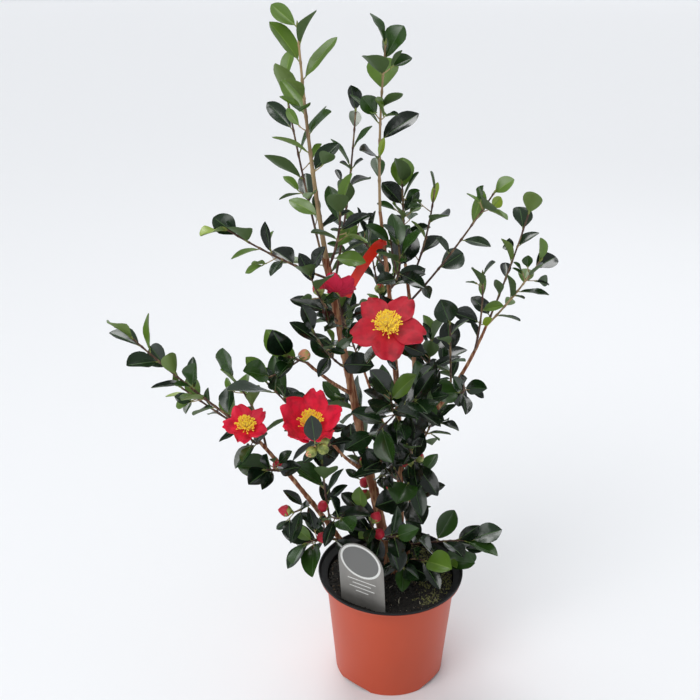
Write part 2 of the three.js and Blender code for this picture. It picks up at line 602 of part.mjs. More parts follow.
// A flower as one cupped dish with a lobe for each petal, and the tuft of stamens in its middle.
function flowerSolid({ centre, facing, size, cup, turn }) {
  const { level, rising } = frameAcross(facing);
  const lobes = 4 * PETALS; // corners round the rim: two at each petal's end, two at each cleft
  const corner = (radius, lift, angle) => centre.clone()
    .addScaledVector(level, radius * Math.cos(cup) * Math.cos(angle))
    .addScaledVector(rising, radius * Math.cos(cup) * Math.sin(angle))
    .addScaledVector(facing, radius * Math.sin(cup) + lift);
  const turnAt = (i) => turn + (i * 2 * Math.PI) / lobes;
  const points = [corner(0, FLOWER.half, 0), corner(0, -3 * FLOWER.half, 0)];
  for (let i = 0; i < lobes; i += 1) {
    const reach = [1, 0.93, FLOWER.cleft, 0.93][i % 4];
    points.push(corner(size * reach, 0, turnAt(i)));
  }
  for (const lift of [FLOWER.half, -FLOWER.half]) {
    for (let i = 0; i < lobes; i += 2) points.push(corner(0.5 * size, lift, turnAt(i)));
  }
  const rim = (i) => 2 + (i % lobes);
  const upper = (i) => 2 + lobes + (Math.floor(i / 2) % (lobes / 2));
  const lower = (i) => upper(i) + lobes / 2;
  const faces = [];
  for (let i = 0; i < lobes; i += 2) {
    faces.push([0, upper(i), upper(i + 2)], [1, lower(i + 2), lower(i)]);
    faces.push([upper(i), rim(i), rim(i + 1)], [upper(i), rim(i + 1), upper(i + 2)],
      [upper(i + 2), rim(i + 1), rim(i + 2)]);
    faces.push([lower(i), rim(i + 1), rim(i)], [lower(i), lower(i + 2), rim(i + 1)],
      [lower(i + 2), rim(i + 2), rim(i + 1)]);
  }
  const tuft = [[0.1 * size, 0.2 * size], [0.3 * size, 0.3 * size]];
  return outward(points, faces).add(spindle(centre, facing, tuft, [-0.1 * size, 0.26 * size], 6));
}

function shootSolid(shoot) {
  const steps = Math.max(3, Math.round(shoot.line.length / STEM_STEP));
  const pieces = [tube(shoot.line, tapering(shoot.radii), 3, steps)];
  shoot.twigs.forEach((twig) => pieces.push(tube(twig.line, tapering(TWIG.radii), 3, 2)));
  shoot.blades.forEach((leaf) => pieces.push(leafSolid(leaf)));
  shoot.buds.forEach((bud) => pieces.push(budSolid(bud)));
  if (shoot.flower) pieces.push(flowerSolid(shoot.flower));
  const whole = wasm.Manifold.union(pieces);
  return largestBody(whole.subtract(limbSolid(shoot.limb, GAP)).simplify(WELD));
}

// ---------------------------------------------------------------- pot, soil, label, ribbon

function potSolid() {
  const { height, lipRadius, lipHeight, lipThickness, wallTopRadius, baseRadius, wall, sides } = POT;
  const ledge = height - lipHeight;
  const profile = [
    [0, 0], [baseRadius, 0], [wallTopRadius, ledge - 2],
    [lipRadius - 1.5, ledge], [lipRadius, height], [lipRadius - lipThickness, height],
    [lipRadius - lipThickness - 1.5, ledge + wall],
    [wallTopRadius - wall, ledge - 2], [baseRadius - wall, wall], [0, wall],
  ].map(([radius, z]) => new THREE.Vector2(radius, z));
  const lathe = new THREE.LatheGeometry(profile, sides);
  lathe.rotateX(Math.PI / 2);
  let pot = solidFromGeometry(lathe);
  const cut = (geometry) => {
    pot = pot.subtract(solidFromGeometry(geometry));
  };
  for (let arch = 0; arch < POT.archCount; arch += 1) {
    const half = POT.archWidth / 2;
    const round = new THREE.CylinderGeometry(half, half, 2 * POT.archDepth, 10);
    round.scale(1, 1, (2 * POT.archHeight) / POT.archWidth);
    round.translate(0, baseRadius, 0);
    round.rotateZ(((arch + POT.archTurn) / POT.archCount) * 2 * Math.PI);
    cut(round);
  }
  for (let hole = 0; hole < POT.drainCount; hole += 1) {
    const round = new THREE.CylinderGeometry(POT.drainRadius, POT.drainRadius, 3 * wall, 8);
    round.rotateX(Math.PI / 2);
    round.translate(POT.drainCircle, 0, wall / 2);
    round.rotateZ((hole / POT.drainCount) * 2 * Math.PI);
    cut(round);
  }
  return pot;
}

// A flat outline on the label's own plane: x across it, y up it.
function labelShape(grow) {
  const { width, height, stakeWidth, stakeLength } = LABEL;
  const half = width / 2 + grow;
  const shape = new THREE.Shape();
  shape.moveTo(-stakeWidth / 2 - grow, -stakeLength - grow);
  shape.lineTo(stakeWidth / 2 + grow, -stakeLength - grow);
  shape.lineTo(half, -grow);
  shape.lineTo(half, height - width / 2);
  shape.absarc(0, height - width / 2, half, 0, Math.PI, false);
  shape.lineTo(-half, -grow);
  shape.closePath();
  return shape;
}

function labelSolid(grow = 0) {
  const depth = LABEL.thickness + 2 * grow;
  const flat = { depth, bevelEnabled: false, curveSegments: 10 };
  const plate = new THREE.ExtrudeGeometry(labelShape(grow), flat);
  plate.translate(0, 0, -depth / 2);
  return solidFromGeometry(plate.applyMatrix4(labelPlace()));
}

function soilSolid() {
  const { wallTopRadius, baseRadius, wall, height, lipHeight, sides } = POT;
  const slope = (wallTopRadius - baseRadius) / (height - lipHeight - 3.5);
  const innerRadius = (z) => baseRadius - wall + slope * (z - wall) - 2 * GAP;
  const floor = wall + GAP;
  const profile = [
    [0, floor], [innerRadius(floor), floor], [innerRadius(SOIL_TOP), SOIL_TOP], [0, SOIL_TOP],
  ].map(([radius, z]) => new THREE.Vector2(radius, z));
  const lathe = new THREE.LatheGeometry(profile, sides);
  lathe.rotateX(Math.PI / 2);
  return solidFromGeometry(lathe).subtract(labelSolid(GAP));
}

// A flat band knotted round the centre stem, with one free tail.
function ribbonSolid(limb) {
  const { width, thickness, at } = RIBBON;
  const knot = pointOn(limb.line, at);
  const heading = headingOn(limb.line, at);
  const hold = centreLine(knot.clone().addScaledVector(heading, -width / 2),
    knot.clone().addScaledVector(heading, width / 2), vec([0, 0, 0]));
  const band = tube(hold, () => limb.radiusAt(at) + GAP + thickness, STEM_SIDES, 1);
  const line = ribbonLine(limb);
  const out = line.tip.clone().sub(line.start).normalize();
  const across = new THREE.Vector3().crossVectors(out, new THREE.Vector3(0, -1, 0.3)).normalize();
  const through = new THREE.Vector3().crossVectors(across, out).normalize();
  const points = [];
  const faces = [];
  const steps = 4;
  for (let step = 0; step <= steps; step += 1) {
    const centre = pointOn(line, step / steps);
    for (const [a, b] of [[-1, -1], [1, -1], [1, 1], [-1, 1]]) {
      points.push(centre.clone().addScaledVector(across, (a * width) / 2)
        .addScaledVector(through, (b * thickness) / 2));
    }
  }
  for (let step = 0; step < steps; step += 1) {
    for (let side = 0; side < 4; side += 1) {
      const here = step * 4 + side;
      const beside = step * 4 + ((side + 1) % 4);
      faces.push([here, beside, here + 4], [beside, beside + 4, here + 4]);
    }
  }
  const last = steps * 4;
  faces.push([0, 2, 1], [0, 3, 2], [last, last + 1, last + 2], [last, last + 2, last + 3]);
  return largestBody(band.add(outward(points, faces)).subtract(limbSolid(limb, GAP)));
}

// ---------------------------------------------------------------- the whole plant

const MATERIALS = {
  pot: new THREE.MeshStandardMaterial({ color: 0xb2503c, roughness: 0.5, metalness: 0 }),
  soil: new THREE.MeshStandardMaterial({ color: 0x221b16, roughness: 0.95, metalness: 0 }),
  label: new THREE.MeshStandardMaterial({ color: 0xa5a098, roughness: 0.5, metalness: 0 }),
  ribbon: new THREE.MeshStandardMaterial({ color: 0xf03022, roughness: 0.35, metalness: 0 }),
  bark: new THREE.MeshStandardMaterial({ color: 0x7a5238, roughness: 0.85, metalness: 0 }),
  foliage: new THREE.MeshStandardMaterial({ color: 0x2c5a2c, roughness: 0.4, metalness: 0 }),
};

const group = new THREE.Group();
const place = (name, solid, material) => group.add(meshOf(name, solid, material));

const limbs = buildLimbs();
place('pot', potSolid(), MATERIALS.pot);
place('soil', soilSolid(), MATERIALS.soil);
place('label', labelSolid(), MATERIALS.label);
place('red_ribbon', ribbonSolid(limbs.centre_stem), MATERIALS.ribbon);
for (const [name, limb] of Object.entries(limbs)) {
  const solid = limbSolid(limb);
  place(name, limb.parent ? solid.subtract(limbSolid(limb.parent, GAP)) : solid, MATERIALS.bark);
}
const grownShoots = growShoots(limbs);
for (const shoot of grownShoots) place(shoot.name, shootSolid(shoot), MATERIALS.foliage);

export default group;
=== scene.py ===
"""A camellia shrub in its nursery pot, dressed for pictures.

The growth rule is the one that the part's source has, with the same numbers and the same seeds,
so stems, leaves, flowers and buds lie where their solids lie. It works in millimetres, with +Z
up and the origin under the middle of the pot, and a mesh is put into metres when it is made.
"""

import json
import math

import bpy
import numpy as np
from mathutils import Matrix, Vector, noise

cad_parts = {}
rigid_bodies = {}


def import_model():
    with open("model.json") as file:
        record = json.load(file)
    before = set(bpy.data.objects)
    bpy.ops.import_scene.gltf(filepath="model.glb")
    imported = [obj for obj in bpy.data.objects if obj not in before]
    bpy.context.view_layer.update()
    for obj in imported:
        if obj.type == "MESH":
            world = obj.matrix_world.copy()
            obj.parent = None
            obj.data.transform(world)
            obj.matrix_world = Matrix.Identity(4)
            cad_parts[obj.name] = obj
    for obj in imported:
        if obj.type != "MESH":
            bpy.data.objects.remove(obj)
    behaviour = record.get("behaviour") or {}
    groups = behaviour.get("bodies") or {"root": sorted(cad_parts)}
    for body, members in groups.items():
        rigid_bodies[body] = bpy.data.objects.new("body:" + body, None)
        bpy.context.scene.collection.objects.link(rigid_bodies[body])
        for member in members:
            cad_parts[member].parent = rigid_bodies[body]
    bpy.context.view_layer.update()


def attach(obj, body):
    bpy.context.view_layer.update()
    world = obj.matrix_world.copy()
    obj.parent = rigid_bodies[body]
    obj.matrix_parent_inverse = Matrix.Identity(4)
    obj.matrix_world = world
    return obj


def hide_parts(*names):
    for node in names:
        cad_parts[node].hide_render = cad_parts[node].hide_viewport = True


bl_info = {
    "name": "Potted camellia shrub",
    "version": (1, 0, 0),
    "blender": (4, 5, 0),
    "location": "View3D > Sidebar > Camellia",
    "description": "Builds a flowering camellia in its nursery pot, piece by piece",
    "category": "Add Mesh",
}

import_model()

MM = 0.001

# ---------------------------------------------------------------- the growth rule's numbers

GAP = 0.3
SEED = 2024
FINE_SEED = 7100

POT = {
    "height": 150, "lip_radius": 95, "lip_height": 7, "lip_thickness": 2.2,
    "wall_top_radius": 85, "base_radius": 72.5, "wall": 1.8,
    "arch_count": 4, "arch_width": 46, "arch_height": 5, "arch_turn": 0.59,
}
SOIL_TOP = 136
LABEL = {
    "width": 64, "height": 100, "stake_width": 16, "stake_length": 26, "thickness": 1.2,
    "turn": -28, "lean": 6, "foot": (-33, -66),
}
RIBBON = {"width": 12, "thickness": 1, "at": 0.93, "tail": (-57, -25, 535), "bow": (0, 0, 6)}

# limb: (foot on the soil, or parent and place along it), tip, bow, radius at start and tip
LIMBS = {
    "main_stem": ((2, 14), (-80, -10, 576), (-3, 2, 0), (7.0, 3.6)),
    "centre_stem": ((13, 34), (-20, 25, 622), (8, 6, 0), (4.8, 2.1)),
    "right_stem": ((20, 54), (11, 82, 542), (13, 3, 0), (4.2, 2.0)),
    "left_low_bough": ((-44, 22), (-162, -90, 393), (3, 0, 4), (4.0, 1.9)),
    "left_mid_bough": (("main_stem", 0.6), (-99, -60, 467), (0, 0, -3), (2.2, 1.6)),
    "front_left_bough": (("main_stem", 0.35), (-70, -64, 366), (0, -4, -4), (2.2, 1.6)),
    "front_bough": (("centre_stem", 0.55), (-6, -48, 492), (4, -8, -4), (2.2, 1.6)),
    "right_bough": (("right_stem", 0.44), (117, 100, 455), (6, 0, -8), (3.0, 1.8)),
    "back_left_bough": (("centre_stem", 0.3), (-40, 112, 382), (0, 8, -8), (2.4, 1.6)),
    "back_right_bough": (("right_stem", 0.25), (44, 124, 336), (0, 6, -8), (2.4, 1.6)),
}
ROOT_FLARE = 1.5
FLARE_HEIGHT = 26

# shoot, limb, place on it, tip, bow, leaves on its stem, side twigs, length of a full leaf
SHOOTS = (
    ("tall_left_shoot", "main_stem", 0.86, (-126, 20, 764), (-3, 0, 0), 8, 0, 54),
    ("tall_middle_shoot", "main_stem", 1, (-103, -50, 826), (-3, 0, 0), 11, 0, 50),
    ("small_dark_shoot", "main_stem", 0.9, (-51, 79, 726), (3, 4, 0), 8, 0, 41),
    ("upper_left_shoot", "main_stem", 0.94, (-184, -50, 618), (0, 0, -4), 8, 0, 40),
    ("centre_top_shoot", "centre_stem", 1, (-16, 0, 806), (-3, 0, 0), 9, 0, 48),
    ("right_top_shoot", "right_stem", 1, (5, 90, 640), (0, 0, 0), 9, 0, 42),
    ("right_side_shoot", "right_stem", 0.93, (43, 60, 640), (4, 0, -6), 6, 0, 34),
    ("right_upper_shoot", "right_stem", 0.88, (106, 0, 650), (0, 0, -6), 7, 0, 38),
    ("right_outer_shoot", "right_bough", 1, (182, 120, 536), (0, 0, -4), 8, 0, 36),
    ("right_back_shoot", "right_bough", 0.9, (166, 140, 592), (2, 6, -6), 7, 0, 38),
    ("right_inner_shoot", "right_bough", 0.8, (106, 70, 533), (3, -4, 0), 6, 0, 36),
    ("right_spur_shoot", "right_bough", 0.45, (67, 40, 478), (0, -4, -4), 7, 0, 36),
    ("right_low_spur", "right_bough", 0.6, (83, 40, 388), (4, -6, -6), 6, 0, 36),
    ("left_outer_shoot", "left_low_bough", 1, (-284, -100, 508), (0, 0, -4), 11, 0, 42),
    ("left_parallel_shoot", "left_low_bough", 0.96, (-243, -68, 436), (0, 8, -6), 7, 0, 34),
    ("left_flower_shoot", "left_low_bough", 0.93, (-163, -112, 410), (0, -4, -6), 3, 0, 36),
    ("left_up_shoot", "left_low_bough", 0.88, (-186, -50, 440), (4, 8, 0), 6, 0, 42),
    ("left_drooping_shoot", "left_low_bough", 0.72, (-144, -104, 352), (0, -6, 4), 7, 0, 42),
    ("left_under_shoot", "left_low_bough", 0.5, (-116, -84, 284), (0, -4, 0), 7, 0, 40),
    ("left_foot_shoot", "left_low_bough", 0.2, (-104, -62, 226), (0, -6, 8), 9, 1, 44),
    ("left_upright_shoot", "left_low_bough", 0.28, (-84, -50, 331), (0, -10, -4), 9, 1, 48),
    ("front_left_flower_shoot", "front_left_bough", 1, (-90, -116, 416), (0, -6, -6), 4, 0, 44),
    ("front_left_side_shoot", "front_left_bough", 0.9, (-140, -92, 455), (0, 6, -6), 7, 0, 54),
    ("left_mid_shoot", "left_mid_bough", 1, (-118, -82, 484), (0, 0, 0), 8, 1, 44),
    ("trunk_top_spur", "main_stem", 0.82, (-92, -68, 571), (0, -8, -4), 8, 0, 42),
    ("trunk_flower_shoot", "main_stem", 0.76, (-66, -42, 545), (4, -4, -4), 4, 0, 38),
    ("trunk_crown_spur", "main_stem", 0.97, (-62, -34, 640), (4, -4, 0), 7, 0, 42),
    ("trunk_left_spur", "main_stem", 0.68, (-90, -66, 506), (0, -6, -4), 7, 0, 44),
    ("centre_left_spur", "centre_stem", 0.86, (-54, 62, 594), (0, 6, -4), 7, 1, 40),
    ("centre_right_spur", "centre_stem", 0.8, (2, -6, 592), (6, -4, -4), 8, 1, 44),
    ("front_flower_shoot", "front_bough", 1, (-8, -106, 530), (0, -6, -6), 5, 0, 46),
    ("front_low_spur", "centre_stem", 0.46, (-4, -62, 430), (0, -6, -8), 9, 2, 50),
    ("right_front_spur", "right_stem", 0.5, (26, -4, 410), (4, -4, -8), 9, 2, 46),
    ("right_middle_spur", "right_stem", 0.34, (18, -26, 346), (4, -4, -8), 9, 1, 46),
    ("right_under_spur", "right_stem", 0.2, (10, -18, 286), (4, -4, -6), 9, 1, 50),
    ("centre_low_spur", "centre_stem", 0.26, (-16, -42, 338), (0, -4, -6), 9, 1, 52),
    ("right_foot_shoot", "right_stem", 0.03, (104, 18, 184), (0, -4, 4), 8, 1, 48),
    ("front_foot_shoot", "centre_stem", 0.03, (17, -24, 168), (0, -4, 4), 7, 1, 46),
    ("trunk_foot_shoot", "main_stem", 0.12, (-26, -44, 250), (0, -8, -4), 8, 2, 50),
    ("trunk_bud_spur", "main_stem", 0.24, (-52, 34, 306), (0, 8, -4), 4, 0, 36),
    ("back_left_shoot", "back_left_bough", 1, (-76, 152, 462), (0, 4, -6), 10, 2, 46),
    ("back_left_spur", "back_left_bough", 0.55, (-70, 118, 330), (0, 4, -4), 8, 1, 46),
    ("back_high_shoot", "centre_stem", 0.62, (-34, 120, 552), (0, 6, -8), 9, 1, 44),
    ("back_right_shoot", "back_right_bough", 1, (50, 166, 412), (0, 4, -6), 10, 2, 42),
    ("back_right_spur", "back_right_bough", 0.5, (58, 124, 316), (0, 4, -6), 8, 1, 42),
    ("back_foot_shoot", "right_stem", 0.08, (10, 132, 236), (0, 6, -6), 8, 1, 46),
)
SHOOT_RADII = (1.8, 1.1)
TWIG = {
    "radii": (1.3, 1.0), "length": (37.4, 13.2), "from": 0.3, "over": 0.45,
    "slant": (0.72, 0.66), "bow": 3, "leaves": 4, "first_leaf": 0.4,
}

# shoot, the way the flower faces, petal length, cup and turn in degrees
FLOWERS = (
    ("front_flower_shoot", (0, -0.66, 0.75), 43, 12, -16),
    ("front_left_flower_shoot", (0.05, -0.56, 0.83), 44, 48, 6),
    ("left_flower_shoot", (0.1, -0.5, 0.86), 28, 30, -36),
    ("trunk_flower_shoot", (0.1, 0.8, 0.6), 26, 44, 0),
)
PETALS = 5
PETAL = {"width": 0.86, "arch": 0.1, "fold": 0.1}

BUDS = (
    ("front_left_flower_shoot", 0.18), ("front_left_flower_shoot", 0.6),
    ("left_mid_shoot", 0.17), ("trunk_top_spur", 0.66), ("left_drooping_shoot", 0.15),
    ("left_upright_shoot", 0.5), ("left_under_shoot", 0.95), ("left_foot_shoot", 0.59),
    ("trunk_bud_spur", 0.12), ("trunk_bud_spur", 0.3), ("trunk_bud_spur", 0.63),
    ("trunk_foot_shoot", 0.64), ("trunk_foot_shoot", 0.89), ("right_under_spur", 0.95),
    ("right_middle_spur", 0.1), ("right_middle_spur", 0.62), ("front_flower_shoot", 0.3),
    ("back_left_shoot", 0.5), ("back_high_shoot", 0.6),
)
BUD = {"length": 18, "radius": 7.6, "stalk": 2.5}

LEAF = {
    "petiole": 0.1, "size": (0.8, 0.36), "end_size": 0.86, "width": (0.38, 0.38),
    "tip_width": 1.3, "tip_from": 0.85, "widest": 1.08, "fullness": 0.66,
    "arch": (0.06, 0.14), "lean": 20, "turn": 70, "fold": 0.16,
}
GOLDEN_ANGLE = 137.5
FIRST_LEAF = 0.2
LAST_UNDER_FLOWER = 0.8
SPREAD = (66, 24)
LIGHT = (0, -0.35, 0.9)
TRIES = 8
SWING = 28
SHRINK = 0.04
CLEAR_OF_LEAF = 6.6
CLEAR_IN_SHOOT = 4.6
CLEAR_OF_TWIG = 4.6
CLEAR_OF_SOIL = 3
CLEAR_OF_WALL = 6

# ---------------------------------------------------------------- the growth rule


def vec(xyz):
    return np.array(xyz, float)


def unit(v):
    return v / math.sqrt(float(v @ v))


def seeded(seed):
    """The same run of numbers from 0 to 1 that the part's source draws."""
    mask = 0xFFFFFFFF
    state = seed & mask

    def draw():
        nonlocal state
        state = (state + 0x6D2B79F5) & mask
        word = ((state ^ (state >> 15)) * (state | 1)) & mask
        word ^= (word + (word ^ (word >> 7)) * (word | 61)) & mask
        return ((word ^ (word >> 14)) & mask) / 4294967296

    return draw


class Line:
    """A quadratic curve whose middle lies `bow` off the straight line."""

    def __init__(self, start, tip, bow):
        self.start, self.tip = vec(start), vec(tip)
        self.control = (self.start + self.tip) * 0.5 + 2 * vec(bow)
        self.length = float(np.linalg.norm(self.tip - self.start))

    def point(self, t):
        return (1 - t) ** 2 * self.start + 2 * t * (1 - t) * self.control + t * t * self.tip

    def heading(self, t):
        return unit((self.control - self.start) * (1 - t) + (self.tip - self.control) * t)


def frame_across(heading):
    """Two directions square to a heading: one level, one as near to upright as it can be."""
    level = vec((-heading[1], heading[0], 0))
    if np.linalg.norm(level) < 0.05:
        level = vec((1, 0, 0))
    level = unit(level)
    return level, unit(np.cross(heading, level))


def outward_from(heading, roll):
    level, rising = frame_across(heading)
    return level * math.cos(roll) + rising * math.sin(roll)


def mixed(pair, share):
    return pair[0] + (pair[1] - pair[0]) * share


class Limb:
    """A stem that stands in the mix, or a bough that leaves another limb."""

    def __init__(self, name, limbs):
        base, tip, bow, self.radii = LIMBS[name]
        self.name = name
        self.parent = limbs[base[0]] if isinstance(base[0], str) else None
        start = self.parent.line.point(base[1]) if self.parent else (*base, SOIL_TOP + GAP)
        self.line = Line(start, tip, bow)

    def radius(self, t):
        flare = 0 if self.parent else max(0, 1 - t * self.line.length / FLARE_HEIGHT) ** 2
        return mixed(self.radii, t) * (1 + (ROOT_FLARE - 1) * flare)


def leaf_half_width(blade, u):
    v = max(0.0, (u - LEAF["petiole"]) / (1 - LEAF["petiole"]))
    return 0.5 * blade.width * abs(math.sin(math.pi * v ** LEAF["widest"])) ** LEAF["fullness"]


def petal_half_width(blade, u):
    return 0.5 * blade.width * math.sin(math.pi * min(1, 0.06 + 0.72 * u)) ** 0.8


SAMPLE_U = (0.16, 0.28, 0.4, 0.52, 0.64, 0.76, 0.88, 0.99)
SAMPLE_S = (-0.92, -0.46, 0, 0.46, 0.92)
ROOT_SAMPLES = 2 * len(SAMPLE_S)


class Blade:
    """A leaf or petal: where it is rooted, its own three directions, and its shape."""

    def __init__(self, root, along, facing, length, width, arch, fold, half_width, owner):
        self.root, self.along = root, along
        self.across = unit(np.cross(along, facing))
        self.facing = unit(np.cross(self.across, along))
        self.length, self.width, self.arch, self.fold = length, width, arch, fold
        self.half_width, self.owner = half_width, owner
        self.points = np.array([self.at(u, s) for u in SAMPLE_U for s in SAMPLE_S])
        self.middle = self.at(0.5, 0)

    def at(self, u, s, lift=0.0):
        half = self.half_width(self, u)
        rise = self.fold * abs(s) * half - self.arch * self.length * u * u + lift
        return (self.root + self.along * self.length * u + self.across * s * half
                + self.facing * rise)


class Plant:
    """Everything that has grown, and the spaces already taken."""

    def __init__(self):
        self.limbs = {}
        for name in LIMBS:
            self.limbs[name] = Limb(name, self.limbs)
        self.blades, self.shoots = [], []
        self.taken, self.radii, self.owners, self.others = [], [], [], {}
        for limb in self.limbs.values():
            self.claim(limb.name, limb.line, limb.radius)
        for point in label_samples():
            self.take("label", point, 0)
        self.claim("red_ribbon", self.ribbon_line(), lambda t: RIBBON["width"] / 2)

    def take(self, owner, point, radius):
        self.owners.append(owner)
        self.taken.append(point)
        self.radii.append(radius)

    def claim(self, owner, line, radius_at):
        count = max(2, math.floor(line.length / 5 + 0.5))
        for i in range(count + 1):
            self.take(owner, line.point(i / count), radius_at(i / count))

    def ribbon_line(self):
        limb = self.limbs["centre_stem"]
        knot = limb.line.point(RIBBON["at"])
        out = unit(vec(RIBBON["tail"]) - knot)
        clear = limb.radius(RIBBON["at"]) + GAP + RIBBON["thickness"] / 2
        return Line(knot + out * clear, RIBBON["tail"], RIBBON["bow"])

    def taken_by_others(self, owner):
        """The places that all but one owner take, and how far a leaf keeps from each."""
        if owner not in self.others:
            others = np.array([other != owner for other in self.owners])
            self.others[owner] = (np.array(self.taken)[others],
                                  np.array(self.radii)[others] + CLEAR_OF_TWIG)
        return self.others[owner]

    def fits(self, blade):
        points = blade.points
        beyond_wall = np.hypot(points[:, 0], points[:, 1]) > POT["wall_top_radius"] - CLEAR_OF_WALL
        low = points[:, 2] < POT["height"]
        if (points[:, 2] < SOIL_TOP + CLEAR_OF_SOIL).any() or (low & beyond_wall).any():
            return False
        taken, reach = self.taken_by_others(blade.owner)
        near = np.abs(taken - blade.middle).max(1) < blade.length + reach
        apart = ((points[:, None, :] - taken[None, near, :]) ** 2).sum(2)
        if (apart < reach[near] ** 2).any():
            return False
        for other in self.blades:
            off = blade.middle - other.middle
            if off @ off > (0.55 * (blade.length + other.length) + 8) ** 2:
                continue
            own = other.owner == blade.owner
            clear = CLEAR_IN_SHOOT if own else CLEAR_OF_LEAF
            skip = ROOT_SAMPLES if own else 0
            apart = ((points[skip:, None, :] - other.points[None, skip:, :]) ** 2).sum(2)
            if (apart < clear**2).any():
                return False
        return True


class Shoot:
    """A leafy shoot: its stem, side twigs and leaves, and its flower or buds."""

    def __init__(self, plant, index):
        name, on, at, tip, bow, leaf_count, twig_count, leaf = SHOOTS[index]
        self.name, self.limb = name, plant.limbs[on]
        self.line = Line(self.limb.line.point(at), tip, bow)
        self.leaf_count, self.leaf = leaf_count, leaf
        self.radii = SHOOT_RADII if at < 1 else (self.limb.radius(1), SHOOT_RADII[1])
        self.random = seeded(SEED + 97 * index)
        self.spin = 360 * self.random()
        self.twigs = [self.side_twig(i, twig_count) for i in range(twig_count)]
        self.leaves, self.petals, self.buds, self.flower = [], [], [], None
        plant.claim(name, self.line, lambda t: mixed(self.radii, t))
        for twig in self.twigs:
            plant.claim(name, twig, lambda t: mixed(TWIG["radii"], t))

    def side_twig(self, order, count):
        t = TWIG["from"] + TWIG["over"] * (order + 0.6 * self.random()) / count
        heading = self.line.heading(t)
        out = outward_from(heading, math.radians(self.spin + 90 + order * GOLDEN_ANGLE))
        start = self.line.point(t)
        length = TWIG["length"][0] + TWIG["length"][1] * self.random()
        tip = start + heading * TWIG["slant"][0] * length + out * TWIG["slant"][1] * length
        return Line(start, tip, out * TWIG["bow"])

    def grow_leaf(self, plant, line, t, order, near_tip, random, scale=1.0):
        """A leaf at `t` on a line, swung round and shrunk until it fits, if it ever does."""
        root, heading = line.point(t), line.heading(t)
        share = LEAF["size"][0] + LEAF["size"][1] * random()
        size = scale * self.leaf * share * (LEAF["end_size"] if near_tip > 0.99 else 1)
        fuller = LEAF["tip_width"] if near_tip > LEAF["tip_from"] else 1
        width = size * fuller * (LEAF["width"][0] + LEAF["width"][1] * random() ** 2)
        arch = LEAF["arch"][0] + LEAF["arch"][1] * random()
        lean = (random() - 0.5) * LEAF["lean"]
        turn = math.radians((random() - 0.5) * LEAF["turn"])
        spread = math.radians(mixed(SPREAD, near_tip) + lean)
        for attempt in range(TRIES):
            swing = (1 if attempt % 2 else -1) * math.ceil(attempt / 2) * SWING
            out = outward_from(heading, math.radians(self.spin + order * GOLDEN_ANGLE + swing))
            along = unit(heading * math.cos(spread) + out * math.sin(spread))
            facing = vec(LIGHT) + heading * 0.5 - out * 0.25
            facing = unit(facing - along * (facing @ along))
            facing = facing * math.cos(turn) + np.cross(along, facing) * math.sin(turn)
            shrink = 1 - SHRINK * attempt
            blade = Blade(root, along, facing, size * shrink, width * shrink, arch,
                          LEAF["fold"], leaf_half_width, self.name)
            if plant.fits(blade):
                plant.blades.append(blade)
                self.leaves.append((blade, line, t, near_tip))
                return blade
        return None

    def grow_leaves(self, plant):
        last = LAST_UNDER_FLOWER if self.flower else 1
        for order in range(self.leaf_count):
            share = order / (self.leaf_count - 1)
            t = FIRST_LEAF + (last - FIRST_LEAF) * share**0.85
            self.grow_leaf(plant, self.line, t, order, share, self.random)
        for twig in self.twigs:
            for order in range(TWIG["leaves"]):
                share = order / (TWIG["leaves"] - 1)
                t = TWIG["first_leaf"] + (1 - TWIG["first_leaf"]) * share
                self.grow_leaf(plant, twig, t, order, share, self.random)

    def grow_flower(self, plant, faces, size, cup, turn):
        facing, centre = unit(vec(faces)), self.line.point(1)
        cup = math.radians(cup)
        for petal in range(PETALS):
            out = outward_from(facing, math.radians(turn + petal * 360 / PETALS))
            along = out * math.cos(cup) + facing * math.sin(cup)
            inner = facing * math.cos(cup) - out * math.sin(cup)
            blade = Blade(centre, along, inner, size, size * PETAL["width"], PETAL["arch"],
                          PETAL["fold"], petal_half_width, self.name)
            plant.blades.append(blade)
            self.petals.append(blade)
        self.flower = {"centre": centre, "facing": facing, "size": size, "cup": cup}

    def grow_bud(self, plant, place):
        heading = self.line.heading(place)
        out = outward_from(heading, math.radians(self.spin + 200 + place * 360))
        root, along = self.line.point(place), unit(out * 0.8 + heading * 0.6)
        for step in (0.4, 0.9, 1.3):
            point = root + along * step * BUD["length"]
            plant.take(f"{self.name} bud", point, BUD["radius"] * 0.7)
        self.buds.append((root, along))


def label_matrix():
    """The label's own plane: x across it, y up it, z through it."""
    turn, lean = math.radians(LABEL["turn"]), math.pi / 2 + math.radians(LABEL["lean"])
    about_z = np.array([[math.cos(turn), -math.sin(turn), 0],
                        [math.sin(turn), math.cos(turn), 0], [0, 0, 1]])
    about_x = np.array([[1, 0, 0], [0, math.cos(lean), -math.sin(lean)],
                        [0, math.sin(lean), math.cos(lean)]])
    return about_z @ about_x, vec((*LABEL["foot"], SOIL_TOP))


def label_samples():
    turned, foot = label_matrix()
    half = LABEL["width"] // 2
    return [turned @ vec((x, y, 0)) + foot
            for x in range(-half, half + 1, 4) for y in range(0, LABEL["height"] + 1, 4)]


def grow_plant():
    plant = Plant()
    plant.shoots = [Shoot(plant, index) for index in range(len(SHOOTS))]
    called = {shoot.name: shoot for shoot in plant.shoots}
    for name, *flower in FLOWERS:
        called[name].grow_flower(plant, *flower)
    for name, place in BUDS:
        called[name].grow_bud(plant, place)
    for shoot in plant.shoots:
        shoot.grow_leaves(plant)
    return plant


# ---------------------------------------------------------------- what only the pictures have

